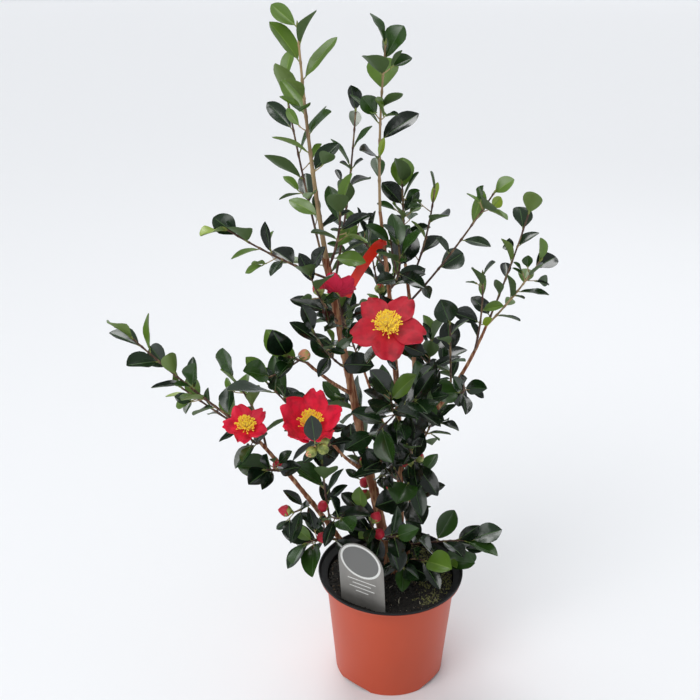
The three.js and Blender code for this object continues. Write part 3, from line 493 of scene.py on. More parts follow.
TAU = 2 * math.pi
NOISE_DEPTH = 0.0006  # metres
PHASES = 6.28  # a wave starts anywhere in a full turn
SHARP = math.radians(55)
CRISP = math.radians(40)
BARK = {
    "sides": 18, "step": 2.6, "below_soil": 2.5, "scars": 14, "scar_length": 2.2,
    "furrow": 1.2, "flake": 0.7, "knot": 0.9, "collar": 0.9, "collar_length": 7,
}
STEM = {"sides": 7, "step": 4, "slimmer": 0.86, "swell": 0.5, "swell_length": 1.6}
TAN_STEMS = ("tall_middle_shoot", "centre_top_shoot", "right_outer_shoot")
END_BUD = {"rings": ((1.5, 1.2), (3.4, 1.35), (5.6, 0.7)), "ends": (-0.5, 7.5), "sides": 6}
STALK = {"to": 0.2, "below": 0.5, "bow": 0.3, "sides": 5, "places": (0, 0.3, 0.6, 1)}
FINE_TWIG = {
    "length": (9, 9), "radius": 0.8, "scale": 0.62, "leaves": 2, "from": 0.3, "to": 0.92,
    "slant": 0.7, "bow": 0.6,
}
FRESH = {  # how young a shoot's leaves are, from 0, old and dark, to 1
    "tall_left_shoot": 0.55, "tall_middle_shoot": 0.72, "small_dark_shoot": 0.12,
    "centre_top_shoot": 0.5, "upper_left_shoot": 0.5, "right_top_shoot": 0.4,
    "right_side_shoot": 0.45, "right_upper_shoot": 0.42, "right_outer_shoot": 0.42,
    "right_back_shoot": 0.4, "left_outer_shoot": 0.5, "left_up_shoot": 0.62,
    "left_parallel_shoot": 0.5, "left_foot_shoot": 0.2, "left_mid_shoot": 0.4,
    "right_inner_shoot": 0.5, "back_high_shoot": 0.3, "trunk_crown_spur": 0.4,
}
FRESH_ELSEWHERE = 0.14
SPRAY = {  # the twig that comes round in front of the cupped flower, its leaves and its buds
    "shoot": "front_left_flower_shoot", "at": 0.5, "tip": (-82, -157, 416), "bow": (2, -3, -6),
    # place on the twig, way it points, way it faces, length, width
    "leaves": ((1.0, (-0.12, 0.06, 1), (0.1, -0.98, 0.2), 32, 21),
               (0.5, (-0.7, -0.3, -0.45), (0.1, -0.5, 0.86), 24, 13),
               (0.66, (0.75, -0.25, -0.3), (0.1, -0.5, 0.86), 20, 11)),
    # place on the twig, way it points
    "buds": ((0.78, (-0.5, -0.62, -0.1)), (0.84, (0.62, -0.6, 0.12))),
}
TOP_LEAF = {"shoot": "tall_middle_shoot", "leans": (-0.72, 0, -0.4)}
LEAF_ROWS = (0.1, 0.17, 0.27, 0.39, 0.51, 0.63, 0.74, 0.84, 0.915, 0.965, 1.0)
LEAF_COLUMNS = (-1, -0.55, -0.05, 0.05, 0.55, 1)
UNDER_COLUMNS = (-0.55, 0, 0.55)
TIP_PINCH = {0.915: 0.94, 0.965: 0.78}  # the blade narrows to a short point
LEAF_THICK = 0.6
LEAF_FOLD = 0.34  # the slope of a leaf's halves
SLENDER = {  # how wide a shoot's leaves are, of the solid ones
    "tall_left_shoot": 0.76, "tall_middle_shoot": 0.8, "centre_top_shoot": 0.8,
    "small_dark_shoot": 0.74, "left_outer_shoot": 0.86, "right_side_shoot": 0.8,
}
SLENDER_ELSEWHERE = 0.94
ROUND_LEAVED = (  # shoots whose outer leaves are nearly round
    "upper_left_shoot", "left_outer_shoot", "centre_top_shoot", "right_upper_shoot",
    "right_outer_shoot", "right_back_shoot", "right_side_shoot", "left_up_shoot",
)
ROUND = {"from": 0.5, "width": 0.76, "longer_than": 26, "outline": (0.74, 0.44)}
RIB_COLUMN = 2  # the strip of faces that the midrib takes
LEAF_SHAPE = {"least_half": 0.35, "waves": 9, "rib_sunk": 0.25, "rib_thick": 1.6}
YOUNG_LENGTH = 34  # a longer leaf is never yellow green
AGE = {"along": 0.3, "chance": 0.8, "older": 0.4}  # what makes a leaf old or young, beside FRESH
HALF_OPEN = {"trunk_flower_shoot": 0.5}  # how wide its stamens stand, of full ones
FLAT_CUP = math.radians(20)
PETAL_NET = {"rows": 13, "columns": 13, "half_thick": 0.35, "base": 0.34, "half_open_base": 0.8}
PETAL_BOWL = 0.17  # how far a petal hangs below a straight one, for its cup
TUFT = {  # the stamens of a flower; `full_size` is the flower in which they are full grown
    "full_size": 47, "half_open": 0.8, "least": 0.55, "more": 0.45, "wall": 0.56,
    "steepest": math.radians(62), "dome": 0.54, "sizes": (0.78, 1.08), "tilt": 0.22, "seed": 5,
    "height": 14, "lean": 1.5,
}
SEPAL = {  # its length and width divide the flower's size
    "count": 6, "turn": 0.4, "back": 0.2, "behind": 1.5, "length": 6, "width": 6.6,
    "arch": 0.3, "fold": 0.3,
}
OPENING_BUDS = (
    "trunk_bud_spur", "trunk_foot_shoot", "trunk_top_spur", "left_under_shoot", "left_foot_shoot",
    "left_drooping_shoot", "front_flower_shoot", "left_upright_shoot",
)
PEACH_BUDS = ("left_mid_shoot",)
BUD_NET = {
    "sides": 12, "rows": 13, "scales": 4, "scale_lift": 0.09, "length": (0.8, 0.25),
    "width": 0.9, "spray_width": 0.86,
}
RED_FROM = {"opening": 0.3, "closed": 0.74, "peach": 0.4}  # where a bud's petals show from
ARCH_DEPTH = 11  # how far in from the pot's foot its arches reach
POT_SIDES = 180
SOIL_NET = {"rings": 26, "sides": 96, "depth": 12, "from_wall": 2.4}
# middle and size of each patch of moss
MOSS_PATCHES = ((68, -4, 36), (62, 32, 34), (44, 56, 26), (50, -46, 20), (-24, -62, 9))
STRAW = ((65, 2, SOIL_TOP - 2), (59, 6, SOIL_TOP + 19), (1, 1, 0))
LABEL_EDGE = 0.25  # how much of the label's edge is cut off all round
LABEL_RING = {"radii": (28.6, 25.4), "above": 1.4, "width": 3}
LABEL_RULES = ((24, 9), (30, 18), (36, 13), (42, 20))  # height, and half of the length
RULE_HEIGHT = 1.1
RIBBON_LOOK = {"steps": 36, "knot": 0.9, "half_thick": 0.22, "crease": 0.7, "cut": 2.5}
SKY_TINT = (0.93, 0.96, 1.0, 1.0)
AIM = (0.0, 0.0, 0.42)  # where the near lights point
FLOOR_SIDES = 96
FLOOR_CURVE = (  # radius and height of the sheet in metres: flat, then rising all round
    (33.0, 0.0), (34.5, 0.3), (36.0, 1.2), (37.2, 2.8), (38.0, 5.0), (38.4, 10.0),
)


def srgb(red, green, blue):
    """A screen colour, 0 to 255, as the values that a shader takes."""
    def linear(value):
        value /= 255
        return value / 12.92 if value <= 0.04045 else ((value + 0.055) / 1.055) ** 2.4
    return (linear(red), linear(green), linear(blue), 1.0)


def colour(name, description, *screen):
    return bpy.props.FloatVectorProperty(
        name=name, description=description, subtype="COLOR", size=4, min=0, max=1,
        default=srgb(*screen))


def length(name, description, default, top=1.0):
    return bpy.props.FloatProperty(
        name=name, description=description, default=default, min=0, max=top, subtype="DISTANCE",
        unit="LENGTH")


def share(name, description, default, top=1.0):
    return bpy.props.FloatProperty(
        name=name, description=description, default=default, min=0, max=top, subtype="FACTOR")


# ---------------------------------------------------------------- settings


class CAMELLIA_PG_wood(bpy.types.PropertyGroup):
    """The bark and the stems."""

    bark: colour("Bark", "Reddish brown of the bark", 130, 72, 44)
    weathered: colour("Weathered bark", "Tan streaks where it peels", 206, 158, 120)
    young_dark: colour("Dark young stem", "Purple brown of this year's stems", 84, 56, 46)
    young_tan: colour("Tan young stem", "Tan of some young stems", 178, 150, 110)
    petiole: colour("Petiole", "Stalk of a leaf", 132, 140, 70)
    relief: length("Bark relief", "How far the bark stands out and in", 0.0006, 0.005)


class CAMELLIA_PG_leaves(bpy.types.PropertyGroup):
    """The foliage."""

    oldest: colour("Oldest leaves", "Near-black green", 12, 27, 13)
    old: colour("Old leaves", "Dark green", 22, 46, 18)
    middle: colour("Middle leaves", "Mid green", 44, 75, 24)
    light: colour("Light leaves", "Fresh green", 92, 124, 38)
    young: colour("Young leaves", "Yellow green", 140, 164, 46)
    under: colour("Underside", "Matt green below old leaves", 70, 94, 46)
    fresh_under: colour("Fresh underside", "Paler matt green below", 100, 124, 54)
    rib: colour("Midrib", "Paler line along a dark leaf", 58, 86, 42)
    fresh_rib: colour("Young midrib", "Pale line along a fresh leaf", 122, 152, 66)
    gloss: share("Roughness", "How dull the upper sides are", 0.2)
    wave: share("Wave", "How much the margins wave, of the half width", 0.1)


class CAMELLIA_PG_flowers(bpy.types.PropertyGroup):
    """Petals, stamens and buds."""

    # One petal red in two copies: the cupped flowers' lighter red is painted light for light
    # through their petals, and the flat flower's darker red is painted shade for the light it
    # catches facing up.
    petal: colour("Petal", "Deep rose red of the flat flower", 194, 6, 40)
    painted_lit_petal: colour("Bright petal", "Rose red of the cupped flowers", 236, 16, 62)
    petal_back: colour("Back of petal", "Paler rose", 208, 38, 72)
    filament: colour("Filament", "Pale yellow stalks", 255, 236, 138)
    anther: colour("Anther", "Bright yellow", 255, 224, 70)
    core: colour("Tuft core", "Amber between the stalks", 190, 126, 34)
    bud: colour("Bud", "Yellow-green scales", 168, 176, 92)
    bud_shade: colour("Bud shade", "Darker green of the scales", 96, 108, 44)
    bud_tip: colour("Bud tip", "Red of the petals that show", 190, 26, 52)
    peach: colour("Peach bud", "Paler petals of some buds", 226, 150, 116)
    # painted glow: the stamens emit a little light of their own colour, standing in for light
    # shining through them
    painted_glow: share("Glow", "Light that comes through the thin stamens", 0.06)
    tuft: length("Stamen tuft", "Radius of the tuft's root", 0.005, 0.02)
    stamens: bpy.props.IntProperty(
        name="Stamens", description="Number in a large flower", default=200, min=10, max=400)


class CAMELLIA_PG_pot(bpy.types.PropertyGroup):
    """The pot, what fills it, the label and the ribbon."""

    outside: colour("Outside", "Terracotta plastic", 204, 80, 46)
    inside: colour("Rim and inside", "Black plastic", 17, 17, 18)
    soil: colour("Potting mix", "Near-black peat", 27, 24, 21)
    crumb: colour("Crumbs", "Bits of bark in the mix", 82, 68, 54)
    moss: colour("Moss", "Olive tufts", 152, 152, 96)
    fibre: colour("Fibres", "Dry shreds in the mix", 186, 178, 156)
    label: colour("Label", "Grey plastic", 150, 147, 142)
    print: colour("Label rules", "Plain pale lines", 232, 232, 228)
    disc: colour("Label disc", "Darker grey in the ring", 112, 112, 110)
    ribbon: colour("Ribbon", "Red plastic strip", 255, 52, 30)


class CAMELLIA_PG_stage(bpy.types.PropertyGroup):
    """Floor, lights and camera."""

    floor: colour("Floor", "Plain pale sheet", 240, 241, 243)
    sky: share("Sky", "Strength of the light from all round", 0.4, 4.0)
    left: bpy.props.FloatProperty(
        name="Left light", description="Strength of the even light from the left front",
        default=0.85, min=0)
    behind: bpy.props.FloatProperty(
        name="Light behind", description="Strength of the even light from above and behind",
        default=1.25, min=0)
    key: bpy.props.FloatProperty(
        name="Key light", description="Power of the near soft light", default=9, min=0,
        subtype="POWER", unit="POWER")
    eye: bpy.props.FloatVectorProperty(
        name="Camera place", description="Where the camera stands", subtype="TRANSLATION",
        unit="LENGTH", default=(0.0, -1.015, 0.878))
    tilt: bpy.props.FloatProperty(
        name="Camera tilt", description="From straight down", subtype="ANGLE", unit="ROTATION",
        default=math.radians(67.6))
    turn: bpy.props.FloatProperty(
        name="Camera turn", description="To the left of straight ahead", subtype="ANGLE",
        unit="ROTATION", default=math.radians(3.01))
    lens: bpy.props.FloatProperty(
        name="Lens", description="Focal length in millimetres", subtype="DISTANCE_CAMERA",
        default=47.3, min=1)


SETTINGS = {
    "camellia_wood": CAMELLIA_PG_wood,
    "camellia_leaves": CAMELLIA_PG_leaves,
    "camellia_flowers": CAMELLIA_PG_flowers,
    "camellia_pot": CAMELLIA_PG_pot,
    "camellia_stage": CAMELLIA_PG_stage,
}

# ---------------------------------------------------------------- materials


def plain(name, colour_rgba, roughness=0.5, **sockets):
    """A material of one colour. `sockets` are further inputs of its shader, by name."""
    material = bpy.data.materials.new(name)
    material.use_nodes = True
    shader = material.node_tree.nodes["Principled BSDF"]
    shader.inputs["Base Color"].default_value = tuple(colour_rgba)
    shader.inputs["Roughness"].default_value = roughness
    for key, value in sockets.items():
        shader.inputs[key.replace("_", " ")].default_value = value
    material.diffuse_color = tuple(colour_rgba)
    return material


def shaded(rgba, times):
    """A colour made darker, or lighter where `times` is over 1."""
    return [times * value for value in rgba[:3]] + [1]


def relieved(material, texture, strength, depth):
    """The material with a texture as relief, `depth` metres high."""
    nodes, links = material.node_tree.nodes, material.node_tree.links
    relief = nodes.new("ShaderNodeBump")
    relief.inputs["Strength"].default_value = strength
    relief.inputs["Distance"].default_value = depth
    links.new(texture.outputs["Fac"], relief.inputs["Height"])
    links.new(relief.outputs["Normal"], nodes["Principled BSDF"].inputs["Normal"])
    return material


def mottled(name, first, second, scale, stretch=(1, 1, 1), roughness=0.6, bump=0.0,
            balance=(0.4, 0.62)):
    """Two colours mixed by noise on Object coordinates, with the same noise as relief."""
    material = plain(name, first, roughness)
    tree = material.node_tree
    nodes, links = tree.nodes, tree.links
    place = nodes.new("ShaderNodeTexCoord")
    stretched = nodes.new("ShaderNodeMapping")
    stretched.inputs["Scale"].default_value = stretch
    texture = nodes.new("ShaderNodeTexNoise")
    texture.inputs["Scale"].default_value = scale
    texture.inputs["Detail"].default_value = 5
    ramp = nodes.new("ShaderNodeValToRGB")
    for element, place_on, shade in zip(ramp.color_ramp.elements, balance, (first, second)):
        element.position, element.color = place_on, tuple(shade)
    links.new(place.outputs["Object"], stretched.inputs["Vector"])
    links.new(stretched.outputs["Vector"], texture.inputs["Vector"])
    links.new(texture.outputs["Fac"], ramp.inputs["Fac"])
    links.new(ramp.outputs["Color"], nodes["Principled BSDF"].inputs["Base Color"])
    return relieved(material, texture, bump, NOISE_DEPTH) if bump else material


def roughened(material, scale, depth):
    """The material with fine noise as relief, `depth` metres high."""
    nodes, links = material.node_tree.nodes, material.node_tree.links
    place, texture = nodes.new("ShaderNodeTexCoord"), nodes.new("ShaderNodeTexNoise")
    texture.inputs["Scale"].default_value = scale
    links.new(place.outputs["Object"], texture.inputs["Vector"])
    return relieved(material, texture, 1.0, depth)


# ---------------------------------------------------------------- meshes


class Builder:
    """Gathers points in millimetres, faces, and which material each face takes."""

    def __init__(self):
        self.points, self.faces, self.slots, self.count = [], [], [], 0

    def add(self, points, faces, slots):
        """`slots` is one number for all the faces, or one for each."""
        points = np.asarray(points, float)
        self.faces.extend(tuple(self.count + int(corner) for corner in face) for face in faces)
        self.slots.extend(for_each(faces, slots))
        self.points.append(points)
        self.count += len(points)

    def piece(self, name, materials, sharp=SHARP):
        points = np.vstack(self.points) * MM
        return piece_of(name, points, self.faces, self.slots, materials, sharp)


def for_each(faces, slots):
    return [slots] * len(faces) if isinstance(slots, int) else slots


def piece_of(name, points, faces, slots, materials, sharp=SHARP):
    """An object of these points, in metres. `slots` is one number, or one for each face."""
    mesh = bpy.data.meshes.new(name)
    mesh.from_pydata(points.tolist(), [], faces)
    for material in materials:
        mesh.materials.append(material)
    mesh.polygons.foreach_set("material_index", for_each(faces, slots))
    mesh.polygons.foreach_set("use_smooth", [True] * len(faces))
    mesh.update()
    mesh.set_sharp_from_angle(angle=sharp)
    obj = bpy.data.objects.new(name, mesh)
    bpy.context.scene.collection.objects.link(obj)
    return obj


def band_faces(rows, columns, closed=True):
    """Quads of a net of rows, each a ring or an open row, facing out from a tube."""
    last = columns if closed else columns - 1
    return [(row * columns + column, row * columns + (column + 1) % columns,
             (row + 1) * columns + (column + 1) % columns, (row + 1) * columns + column)
            for row in range(rows - 1) for column in range(last)]


def circle(radius, sides, z=0.0):
    """Points round a level circle."""
    turns = [side * TAU / sides for side in range(sides)]
    return [(radius * math.cos(turn), radius * math.sin(turn), z) for turn in turns]


def disc_faces(rings, sides):
    """Faces of a disc that looks up: a fan round its first point, then band after band."""
    faces = [(0, 1 + side, 1 + (side + 1) % sides) for side in range(sides)]
    for low in range(1, 1 + (rings - 1) * sides, sides):
        faces += [(low + side, low + sides + side, low + sides + (side + 1) % sides,
                   low + (side + 1) % sides) for side in range(sides)]
    return faces


def slab_faces(layers, count):
    """Faces of a flat solid of like outlines, `count` points each, the front one first."""
    last = (layers - 1) * count
    edge = [tuple(reversed(face)) for face in band_faces(layers, count)]
    return [*edge, tuple(range(count)), tuple(reversed(range(last, last + count)))]


def tube(line, radius_at, sides, places, relief=None):
    """A closed tube along a line, with a ring at each place on it."""
    guide = frame_across(line.heading(0.5))[0]
    angles = np.arange(sides) * TAU / sides
    rings = []
    for t in places:
        heading = line.heading(t)
        level = unit(guide - heading * (guide @ heading))
        rising = np.cross(heading, level)
        out = np.cos(angles)[:, None] * level + np.sin(angles)[:, None] * rising
        radius = np.full(sides, radius_at(t))
        if relief:
            radius = radius + np.array([relief(t, angle) for angle in angles])
        rings.append(line.point(t) + out * radius[:, None])
    count = len(places)
    first = tuple(reversed(range(sides)))
    last = tuple(range((count - 1) * sides, count * sides))
    return np.vstack(rings), [*band_faces(count, sides), first, last]


def spindle(root, along, rings, ends, sides):
    """A closed solid of revolution: a point, rings of (height, radius), and a point."""
    points = [root + along * ends[0]]
    for height, radius in rings:
        points += [root + along * height + outward_from(along, side * TAU / sides) * radius
                   for side in range(sides)]
    points.append(root + along * ends[1])
    tip = len(points) - 1
    top = 1 + (len(rings) - 1) * sides
    faces = [(0, 1 + (side + 1) % sides, 1 + side) for side in range(sides)]
    faces += [tuple(corner + 1 for corner in face) for face in band_faces(len(rings), sides)]
    faces += [(tip, top + side, top + (side + 1) % sides) for side in range(sides)]
    return points, faces


def leaf_net(blade, random, wave, slender, blunt):
    """A leaf's points and faces, and which faces are upper side, midrib and underside.

    `slender` makes it narrower than its solid, and a `blunt` leaf widens towards its tip.
    """
    phase, twist, curl = random() * PHASES, (random() - 0.5) * 0.5, (random() - 0.3) * 0.3
    waves = wave * (0.4 + 1.2 * random())

    def place(u, s, sunk=0.0):
        low, more = ROUND["outline"]
        outline = low + more * u if blunt else TIP_PINCH.get(u, 1)
        half = max(blade.half_width(blade, u) * outline * slender, LEAF_SHAPE["least_half"])
        lift = waves * half * s * s * math.sin(LEAF_SHAPE["waves"] * u + phase + 2 * s)
        lift += twist * u * s * half
        lift += (curl * abs(s) ** 3 + LEAF_FOLD * abs(s)) * half
        rise = lift - blade.arch * blade.length * u * u - sunk
        return (blade.root + blade.along * blade.length * u + blade.across * s * half
                + blade.facing * rise)

    body = LEAF_ROWS[:-1]
    upper = [place(u, s, LEAF_SHAPE["rib_sunk"] if abs(s) < 0.1 else 0)
             for u in body for s in LEAF_COLUMNS]
    lower = [place(u, s, LEAF_THICK * (1 if s else LEAF_SHAPE["rib_thick"]))
             for u in body for s in UNDER_COLUMNS]
    points = [*upper, *lower, blade.at(1, 0)]
    rows, columns, strips = len(body), len(LEAF_COLUMNS), len(UNDER_COLUMNS)
    under, end = rows * columns, len(points) - 1
    faces = band_faces(rows, columns, closed=False)
    slots = [1 if column == RIB_COLUMN and row < rows - 2 else 0
             for row in range(rows - 1) for column in range(columns - 1)]
    last = (rows - 1) * columns
    faces += [(last + column, last + column + 1, end) for column in range(columns - 1)]
    slots += [0] * (columns - 1)

    def across_below(row):
        left, first = row * columns, under + row * strips
        return [left, *range(first, first + strips), left + columns - 1]

    for row in range(rows - 1):
        here, there = across_below(row), across_below(row + 1)
        faces += [(here[k], there[k], there[k + 1], here[k + 1]) for k in range(strips + 1)]
    here = across_below(rows - 1)
    faces += [(here[k], end, here[k + 1]) for k in range(strips + 1)]
    faces.append((*across_below(0), *reversed(range(1, columns - 1))))
    slots += [2] * (len(faces) - len(slots))
    return points, faces, slots


def petal_net(blade, random, base=PETAL_NET["base"], bowl=0.0):
    """A closed thin sheet with a notch and soft folds.

    `base` is how wide it starts, and `bowl` how far its middle hangs below a straight petal.
    """
    rows, columns = PETAL_NET["rows"], PETAL_NET["columns"]
    notch, phase = 0.03 + 0.1 * random(), random() * PHASES
    roll, size = 0.1 + 0.12 * random(), blade.length
    long, wide = 0.94 + 0.08 * random(), 0.84 + 0.16 * random()
    sheet = []
    for row in range(rows):
        for column in range(columns):
            s = -1 + 2 * column / (columns - 1)
            u = 0.04 + 0.96 * row / (rows - 1)
            edge = 1 - 0.2 * abs(s) ** 2.6 - notch * math.exp(-((s / 0.24) ** 2))
            narrow = base + (1 - base) * math.sin(0.5 * math.pi * min(1, u / 0.8)) ** 1.3
            half = blade.half_width(blade, u) * narrow * wide
            lift = size * u * (0.05 * s + 0.035 * math.sin(5.5 * s + phase) * u)
            lift += size * 0.03 * math.sin(9 * u + phase + 3 * s) * u * abs(s)
            lift += size * 0.016 * math.sin(13 * s + 2 * phase) * u * u
            lift -= bowl * size * math.sin(math.pi * min(1, u))
            lift += roll * half * (abs(s) ** 2.2) * (1 - 0.6 * u) - 0.08 * size * u**4
            sheet.append((u * edge * long, s * half, lift))
    points = []
    for side in (PETAL_NET["half_thick"], -PETAL_NET["half_thick"]):
        for u, x, lift in sheet:
            rise = lift + side - blade.arch * size * u * u
            points.append(blade.root + blade.along * size * u + blade.across * x
                          + blade.facing * rise)
    net = rows * columns
    faces = band_faces(rows, columns, closed=False)
    slots = [0] * len(faces)
    faces += [tuple(net + corner for corner in reversed(face)) for face in faces]
    slots += [1] * (len(faces) - len(slots))
    rim = [*range(columns), *range(2 * columns - 1, net, columns),
           *range(net - 2, net - columns - 1, -1), *range(net - 2 * columns, 0, -columns)]
    for here, there in zip(rim, rim[1:] + rim[:1]):
        faces.append((there, here, here + net, there + net))
        slots.append(0)
    return points, faces, slots


# ---------------------------------------------------------------- scattering, by nodes


def scatter_tree():
    """Geometry Nodes: one part stood all over a surface, along its normals."""
    tree = bpy.data.node_groups.new("camellia_scatter", "GeometryNodeTree")
    sockets = {}
    for name, kind in (
            ("Surface", "NodeSocketGeometry"), ("Part", "NodeSocketObject"),
            ("Density", "NodeSocketFloat"), ("Least size", "NodeSocketFloat"),
            ("Greatest size", "NodeSocketFloat"), ("Tilt", "NodeSocketFloat"),
            ("Seed", "NodeSocketInt"), ("Material", "NodeSocketMaterial")):
        sockets[name] = tree.interface.new_socket(name, in_out="INPUT", socket_type=kind)
    tree.interface.new_socket("Result", in_out="OUTPUT", socket_type="NodeSocketGeometry")
    new, link = tree.nodes.new, tree.links.new
    start, end = new("NodeGroupInput"), new("NodeGroupOutput")
    points = new("GeometryNodeDistributePointsOnFaces")
    part = new("GeometryNodeObjectInfo")
    stand = new("GeometryNodeInstanceOnPoints")
    size, lean = new("FunctionNodeRandomValue"), new("FunctionNodeRandomValue")
    opposite, turned = new("ShaderNodeMath"), new("GeometryNodeRotateInstances")
    low, high = new("ShaderNodeCombineXYZ"), new("ShaderNodeCombineXYZ")
    real, dress = new("GeometryNodeRealizeInstances"), new("GeometryNodeSetMaterial")
    lean.data_type = "FLOAT_VECTOR"
    opposite.operation = "MULTIPLY"
    opposite.inputs[1].default_value = -1
    link(start.outputs["Surface"], points.inputs["Mesh"])
    link(start.outputs["Density"], points.inputs["Density"])
    link(start.outputs["Seed"], points.inputs["Seed"])
    link(start.outputs["Part"], part.inputs["Object"])
    link(points.outputs["Points"], stand.inputs["Points"])
    link(points.outputs["Rotation"], stand.inputs["Rotation"])
    link(part.outputs["Geometry"], stand.inputs["Instance"])
    link(start.outputs["Least size"], size.inputs[2])
    link(start.outputs["Greatest size"], size.inputs[3])
    link(start.outputs["Seed"], size.inputs["Seed"])
    link(size.outputs[1], stand.inputs["Scale"])
    link(start.outputs["Tilt"], opposite.inputs[0])
    for axis in ("X", "Y"):
        link(opposite.outputs[0], low.inputs[axis])
        link(start.outputs["Tilt"], high.inputs[axis])
    low.inputs["Z"].default_value, high.inputs["Z"].default_value = -math.pi, math.pi
    link(low.outputs[0], lean.inputs[0])
    link(high.outputs[0], lean.inputs[1])
    link(start.outputs["Seed"], lean.inputs["Seed"])
    link(stand.outputs["Instances"], turned.inputs["Instances"])
    link(lean.outputs[0], turned.inputs["Rotation"])
    link(turned.outputs["Instances"], real.inputs["Geometry"])
    link(real.outputs["Geometry"], dress.inputs["Geometry"])
    link(start.outputs["Material"], dress.inputs["Material"])
    link(dress.outputs["Geometry"], end.inputs["Result"])
    return tree, {name: socket.identifier for name, socket in sockets.items()}


def scattered(surface, part, density, sizes, tilt, seed, material):
    """Points and faces of `part` scattered over `surface`, each given as (points, faces)."""
    ground, seedling = (piece_of(name, *shape, 0, [])
                        for name, shape in (("scatter_ground", surface), ("scatter_part", part)))
    tree, identifiers = scatter_tree()
    modifier = ground.modifiers.new("scatter", "NODES")
    modifier.node_group = tree
    values = {"Part": seedling, "Density": float(density), "Least size": float(sizes[0]),
              "Greatest size": float(sizes[1]), "Tilt": float(tilt), "Seed": int(seed),
              "Material": material}
    for name, value in values.items():
        modifier[identifiers[name]] = value
    bpy.context.view_layer.update()
    evaluated = ground.evaluated_get(bpy.context.evaluated_depsgraph_get())
    mesh = bpy.data.meshes.new_from_object(evaluated)
    points = np.empty(3 * len(mesh.vertices))
    mesh.vertices.foreach_get("co", points)
    faces = [tuple(face.vertices) for face in mesh.polygons]
    for made in (ground, seedling):
        data = made.data
        bpy.data.objects.remove(made)
        bpy.data.meshes.remove(data)
    bpy.data.meshes.remove(mesh)
    bpy.data.node_groups.remove(tree)
    if not faces:
        raise RuntimeError("the scatter came out empty")
    return points.reshape(-1, 3), faces


# ---------------------------------------------------------------- what the operators share

_grown = []


def plant():
    """The plant as the rule grows it, with what only the pictures have, worked out once."""
    if not _grown:
        made = grow_plant()
        for index, shoot in enumerate(made.shoots):
            grow_fine_twigs(made, shoot, seeded(FINE_SEED + 31 * index))
            if shoot.name == TOP_LEAF["shoot"]:
                lean_top_leaf(shoot)
            if shoot.flower:
                shoot.leaves = [leaf for leaf in shoot.leaves if clear_of_flower(shoot, leaf[0])]
            if shoot.name == SPRAY["shoot"]:
                grow_spray(shoot)
        _grown.append(made)
    return _grown[0]


def grow_spray(shoot):
    """A twig that comes round under a flower, with its leaves and buds in front of it."""
    twig = Line(shoot.line.point(SPRAY["at"]), SPRAY["tip"], SPRAY["bow"])
    shoot.fine.append(twig)
    for t, along, facing, size, width in SPRAY["leaves"]:
        blade = Blade(twig.point(t), unit(vec(along)), unit(vec(facing)), size, width,
                      LEAF["arch"][0], LEAF["fold"], leaf_half_width, shoot.name)
        shoot.leaves.append((blade, twig, t, 0))
    for t, along in SPRAY["buds"]:
        shoot.buds.append((twig.point(t), unit(vec(along))))


def clear_of_flower(shoot, blade):
    """Whether a leaf keeps out of the middle of its own shoot's flower."""
    off = blade.points - shoot.flower["centre"]
    height = off @ shoot.flower["facing"]
    away = np.linalg.norm(off - height[:, None] * shoot.flower["facing"], axis=1)
    return not ((height > -1) & (away < 0.5 * shoot.flower["size"])).any()


def lean_top_leaf(shoot):
    """The leaf at the very top bends over to the side."""
    for place, (blade, line, t, near_tip) in enumerate(shoot.leaves):
        if line is shoot.line and near_tip == 1:
            leant = Blade(blade.root, unit(blade.along + vec(TOP_LEAF["leans"])), blade.facing,
                          blade.length, blade.width, blade.arch, blade.fold, leaf_half_width,
                          shoot.name)
            shoot.leaves[place] = (leant, line, t, near_tip)


def grow_fine_twigs(made, shoot, random):
    """Short finer twigs with small leaves, wherever there is room for them."""
    shoot.fine = []
    for _ in range(2 + int(3 * random())):
        t = FINE_TWIG["from"] + (FINE_TWIG["to"] - FINE_TWIG["from"]) * random()
        heading = shoot.line.heading(t)
        out = outward_from(heading, math.radians(360 * random()))
        start = shoot.line.point(t)
        long = FINE_TWIG["length"][0] + FINE_TWIG["length"][1] * random()
        tip = start + unit(out + heading * FINE_TWIG["slant"]) * long
        twig = Line(start, tip, out * FINE_TWIG["bow"])
        before = len(shoot.leaves)
        for leaf in range(FINE_TWIG["leaves"]):
            shoot.grow_leaf(made, twig, 0.75 + 0.25 * leaf, leaf, 0.7 + 0.3 * leaf, random,
                            FINE_TWIG["scale"])
        if len(shoot.leaves) > before:
            shoot.fine.append(twig)


SHOOT_NAMES = [row[0] for row in SHOOTS]
FLOWER_SHOOTS = [row[0] for row in FLOWERS]
BUD_SHOOTS = sorted({row[0] for row in BUDS})


def settle(piece, nodes):
    """The piece rides on the one body and stands for the CAD nodes, which are hidden."""
    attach(piece, "root")
    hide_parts(*nodes)


# ---------------------------------------------------------------- operators


